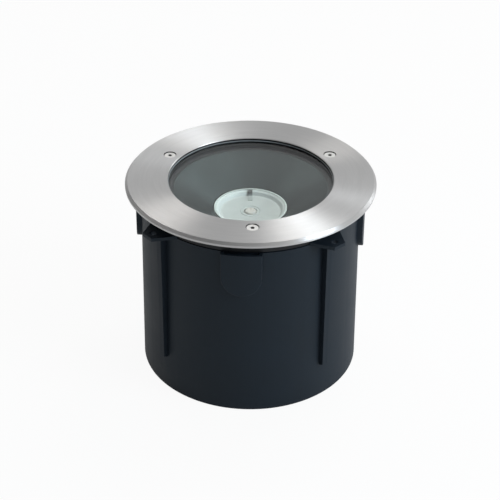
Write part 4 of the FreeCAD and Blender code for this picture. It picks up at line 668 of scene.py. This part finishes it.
class WELLLIGHT_OT_stage(bpy.types.Operator):
    """Set the floor, the white room, the lamps and the camera"""
    bl_idname = "well_light.stage"
    bl_label = "Stage"

    def execute(self, context):
        studio = context.scene.well_light.studio
        top = Vector((0.0, 0.0, CAD_BOX[1].z))
        self.make_floor(studio)
        self.make_room(studio)
        for name, towards, distance, size, tint in SOFT_BOXES:
            soft_box(name + "_box", towards, distance, size, getattr(studio, name + "_power"), tint, top)
        self.make_camera(studio, top)
        bpy.context.scene.view_settings.view_transform = "Standard"
        return {"FINISHED"}

    def make_floor(self, studio):
        """A pale floor that the camera sees nearly white, with the light's shadow kept."""
        mesh = bpy.data.meshes.new("floor")
        half = FLOOR_HALF
        mesh.from_pydata([(-half, -half, 0), (half, -half, 0), (half, half, 0), (-half, half, 0)], [],
                         [(0, 1, 2, 3)])
        floor = bpy.data.objects.new("floor", mesh)
        bpy.context.scene.collection.objects.link(floor)
        finish = Finish("floor_pale")
        cloud = finish.noise(finish.place, scale=3.0, detail=2.0)
        shader = finish.surface(
            Base_Color=finish.shades(finish.between(cloud, 0.0, 1.0), dimmed(studio.floor, 0.99),
                                     studio.floor),
            Roughness=0.9,
        )
        shader.inputs["Specular IOR Level"].default_value = 0.0
        glow = finish.add("ShaderNodeEmission")
        path = finish.add("ShaderNodeLightPath")
        mirrored = finish.math("MAXIMUM", path.outputs["Is Glossy Ray"],
                               path.outputs["Is Transmission Ray"])
        mix = finish.add("ShaderNodeMixShader")
        finish.feed(mix.inputs[0], finish.math(
            "ADD", finish.math("MULTIPLY", path.outputs["Is Camera Ray"], WHITE_SHARE),
            finish.math("MULTIPLY", mirrored, MIRRORED_SHARE)))
        finish.tree.links.new(shader.outputs[0], mix.inputs[1])
        finish.tree.links.new(glow.outputs[0], mix.inputs[2])
        finish.tree.links.new(mix.outputs[0], finish.output.inputs["Surface"])
        mesh.materials.append(finish.material)

    def make_room(self, studio):
        """A white room: plain white where it is seen, and softer as a light."""
        world = bpy.data.worlds.new("white_room")
        bpy.context.scene.world = world
        world.use_nodes = True
        tree = world.node_tree
        tree.nodes.clear()
        output = tree.nodes.new("ShaderNodeOutputWorld")
        seen = tree.nodes.new("ShaderNodeBackground")
        lights = tree.nodes.new("ShaderNodeBackground")
        path = tree.nodes.new("ShaderNodeLightPath")
        mix = tree.nodes.new("ShaderNodeMixShader")
        tree.links.new(path.outputs["Is Camera Ray"], mix.inputs[0])
        tree.links.new(lights.outputs[0], mix.inputs[1])
        tree.links.new(seen.outputs[0], mix.inputs[2])
        tree.links.new(mix.outputs[0], output.inputs["Surface"])
        seen.inputs["Color"].default_value = (1.0, 1.0, 1.0, 1.0)
        place = tree.nodes.new("ShaderNodeTexCoord")
        facing = tree.nodes.new("ShaderNodeVectorMath")
        facing.operation = "DOT_PRODUCT"
        facing.inputs[1].default_value = BRIGHT_SIDE
        tree.links.new(place.outputs["Generated"], facing.inputs[0])
        fade = tree.nodes.new("ShaderNodeMapRange")
        fade.interpolation_type = "SMOOTHSTEP"
        tree.links.new(facing.outputs["Value"], fade.inputs["Value"])
        fade.inputs["From Min"].default_value, fade.inputs["From Max"].default_value = ROOM_FADE
        fade.inputs["To Min"].default_value = studio.near_share
        fade.inputs["To Max"].default_value = 1.0
        level = tree.nodes.new("ShaderNodeMath")
        level.operation = "MULTIPLY"
        tree.links.new(fade.outputs["Result"], level.inputs[0])
        level.inputs[1].default_value = studio.world_level
        tree.links.new(level.outputs[0], lights.inputs["Strength"])
        lights.inputs["Color"].default_value = (0.98, 0.99, 1.0, 1.0)

    def make_camera(self, studio, target):
        """The camera at the photograph's angle, which looks at the faceplate's middle."""
        data = bpy.data.cameras.new("camera")
        data.sensor_width = CAMERA_SENSOR
        data.lens = CAMERA_LENS
        data.shift_x, data.shift_y = CAMERA_SHIFT
        data.clip_start = 0.05
        data.clip_end = 100.0
        camera = bpy.data.objects.new("camera", data)
        back = direction(CAMERA_AZIMUTH, CAMERA_ELEVATION)
        turn = (-back).to_track_quat("-Z", "Y").to_matrix().to_4x4()
        camera.matrix_world = (Matrix.Translation(target + back * studio.camera_distance) @ turn
                               @ Matrix.Rotation(CAMERA_ROLL, 4, "Z"))
        bpy.context.scene.collection.objects.link(camera)
        bpy.context.scene.camera = camera


# ---------------------------------------------------------------------------------------------
# Panel and registration
# ---------------------------------------------------------------------------------------------
OPERATORS = (
    WELLLIGHT_OT_sleeve,
    WELLLIGHT_OT_faceplate,
    WELLLIGHT_OT_screws,
    WELLLIGHT_OT_glass,
    WELLLIGHT_OT_housing,
    WELLLIGHT_OT_lamp,
    WELLLIGHT_OT_yoke,
    WELLLIGHT_OT_driver,
    WELLLIGHT_OT_glands,
    WELLLIGHT_OT_stage,
)


class VIEW3D_PT_well_light(bpy.types.Panel):
    """Lists the light's pieces and their settings"""
    bl_label = "Well Light"
    bl_idname = "VIEW3D_PT_well_light"
    bl_space_type = "VIEW_3D"
    bl_region_type = "UI"
    bl_category = "Well Light"

    def draw(self, context):
        layout = self.layout
        for operator in OPERATORS:
            layout.operator(operator.bl_idname)
        settings = context.scene.well_light
        for group in (settings.steel, settings.moulded, settings.lamp, settings.supply,
                      settings.studio):
            box = layout.box()
            for key in group.__annotations__:
                box.prop(group, key)


CLASSES = (SteelFinish, MouldedFinish, LampFinish, SupplyFinish, StudioSetting, WellLightSettings,
           *OPERATORS, VIEW3D_PT_well_light)


def register():
    """Add the classes and the scene's settings."""
    for item in CLASSES:
        bpy.utils.register_class(item)
    bpy.types.Scene.well_light = PointerProperty(type=WellLightSettings, name="Well Light",
                                                 description="Settings of the well light")


def unregister():
    """Take away what register added."""
    del bpy.types.Scene.well_light
    for item in reversed(CLASSES):
        bpy.utils.unregister_class(item)


def main():
    """Run every operator in order."""
    register()
    for operator in OPERATORS:
        group, name = operator.bl_idname.split(".")
        getattr(getattr(bpy.ops, group), name)()


if __name__ == "__main__":
    main()
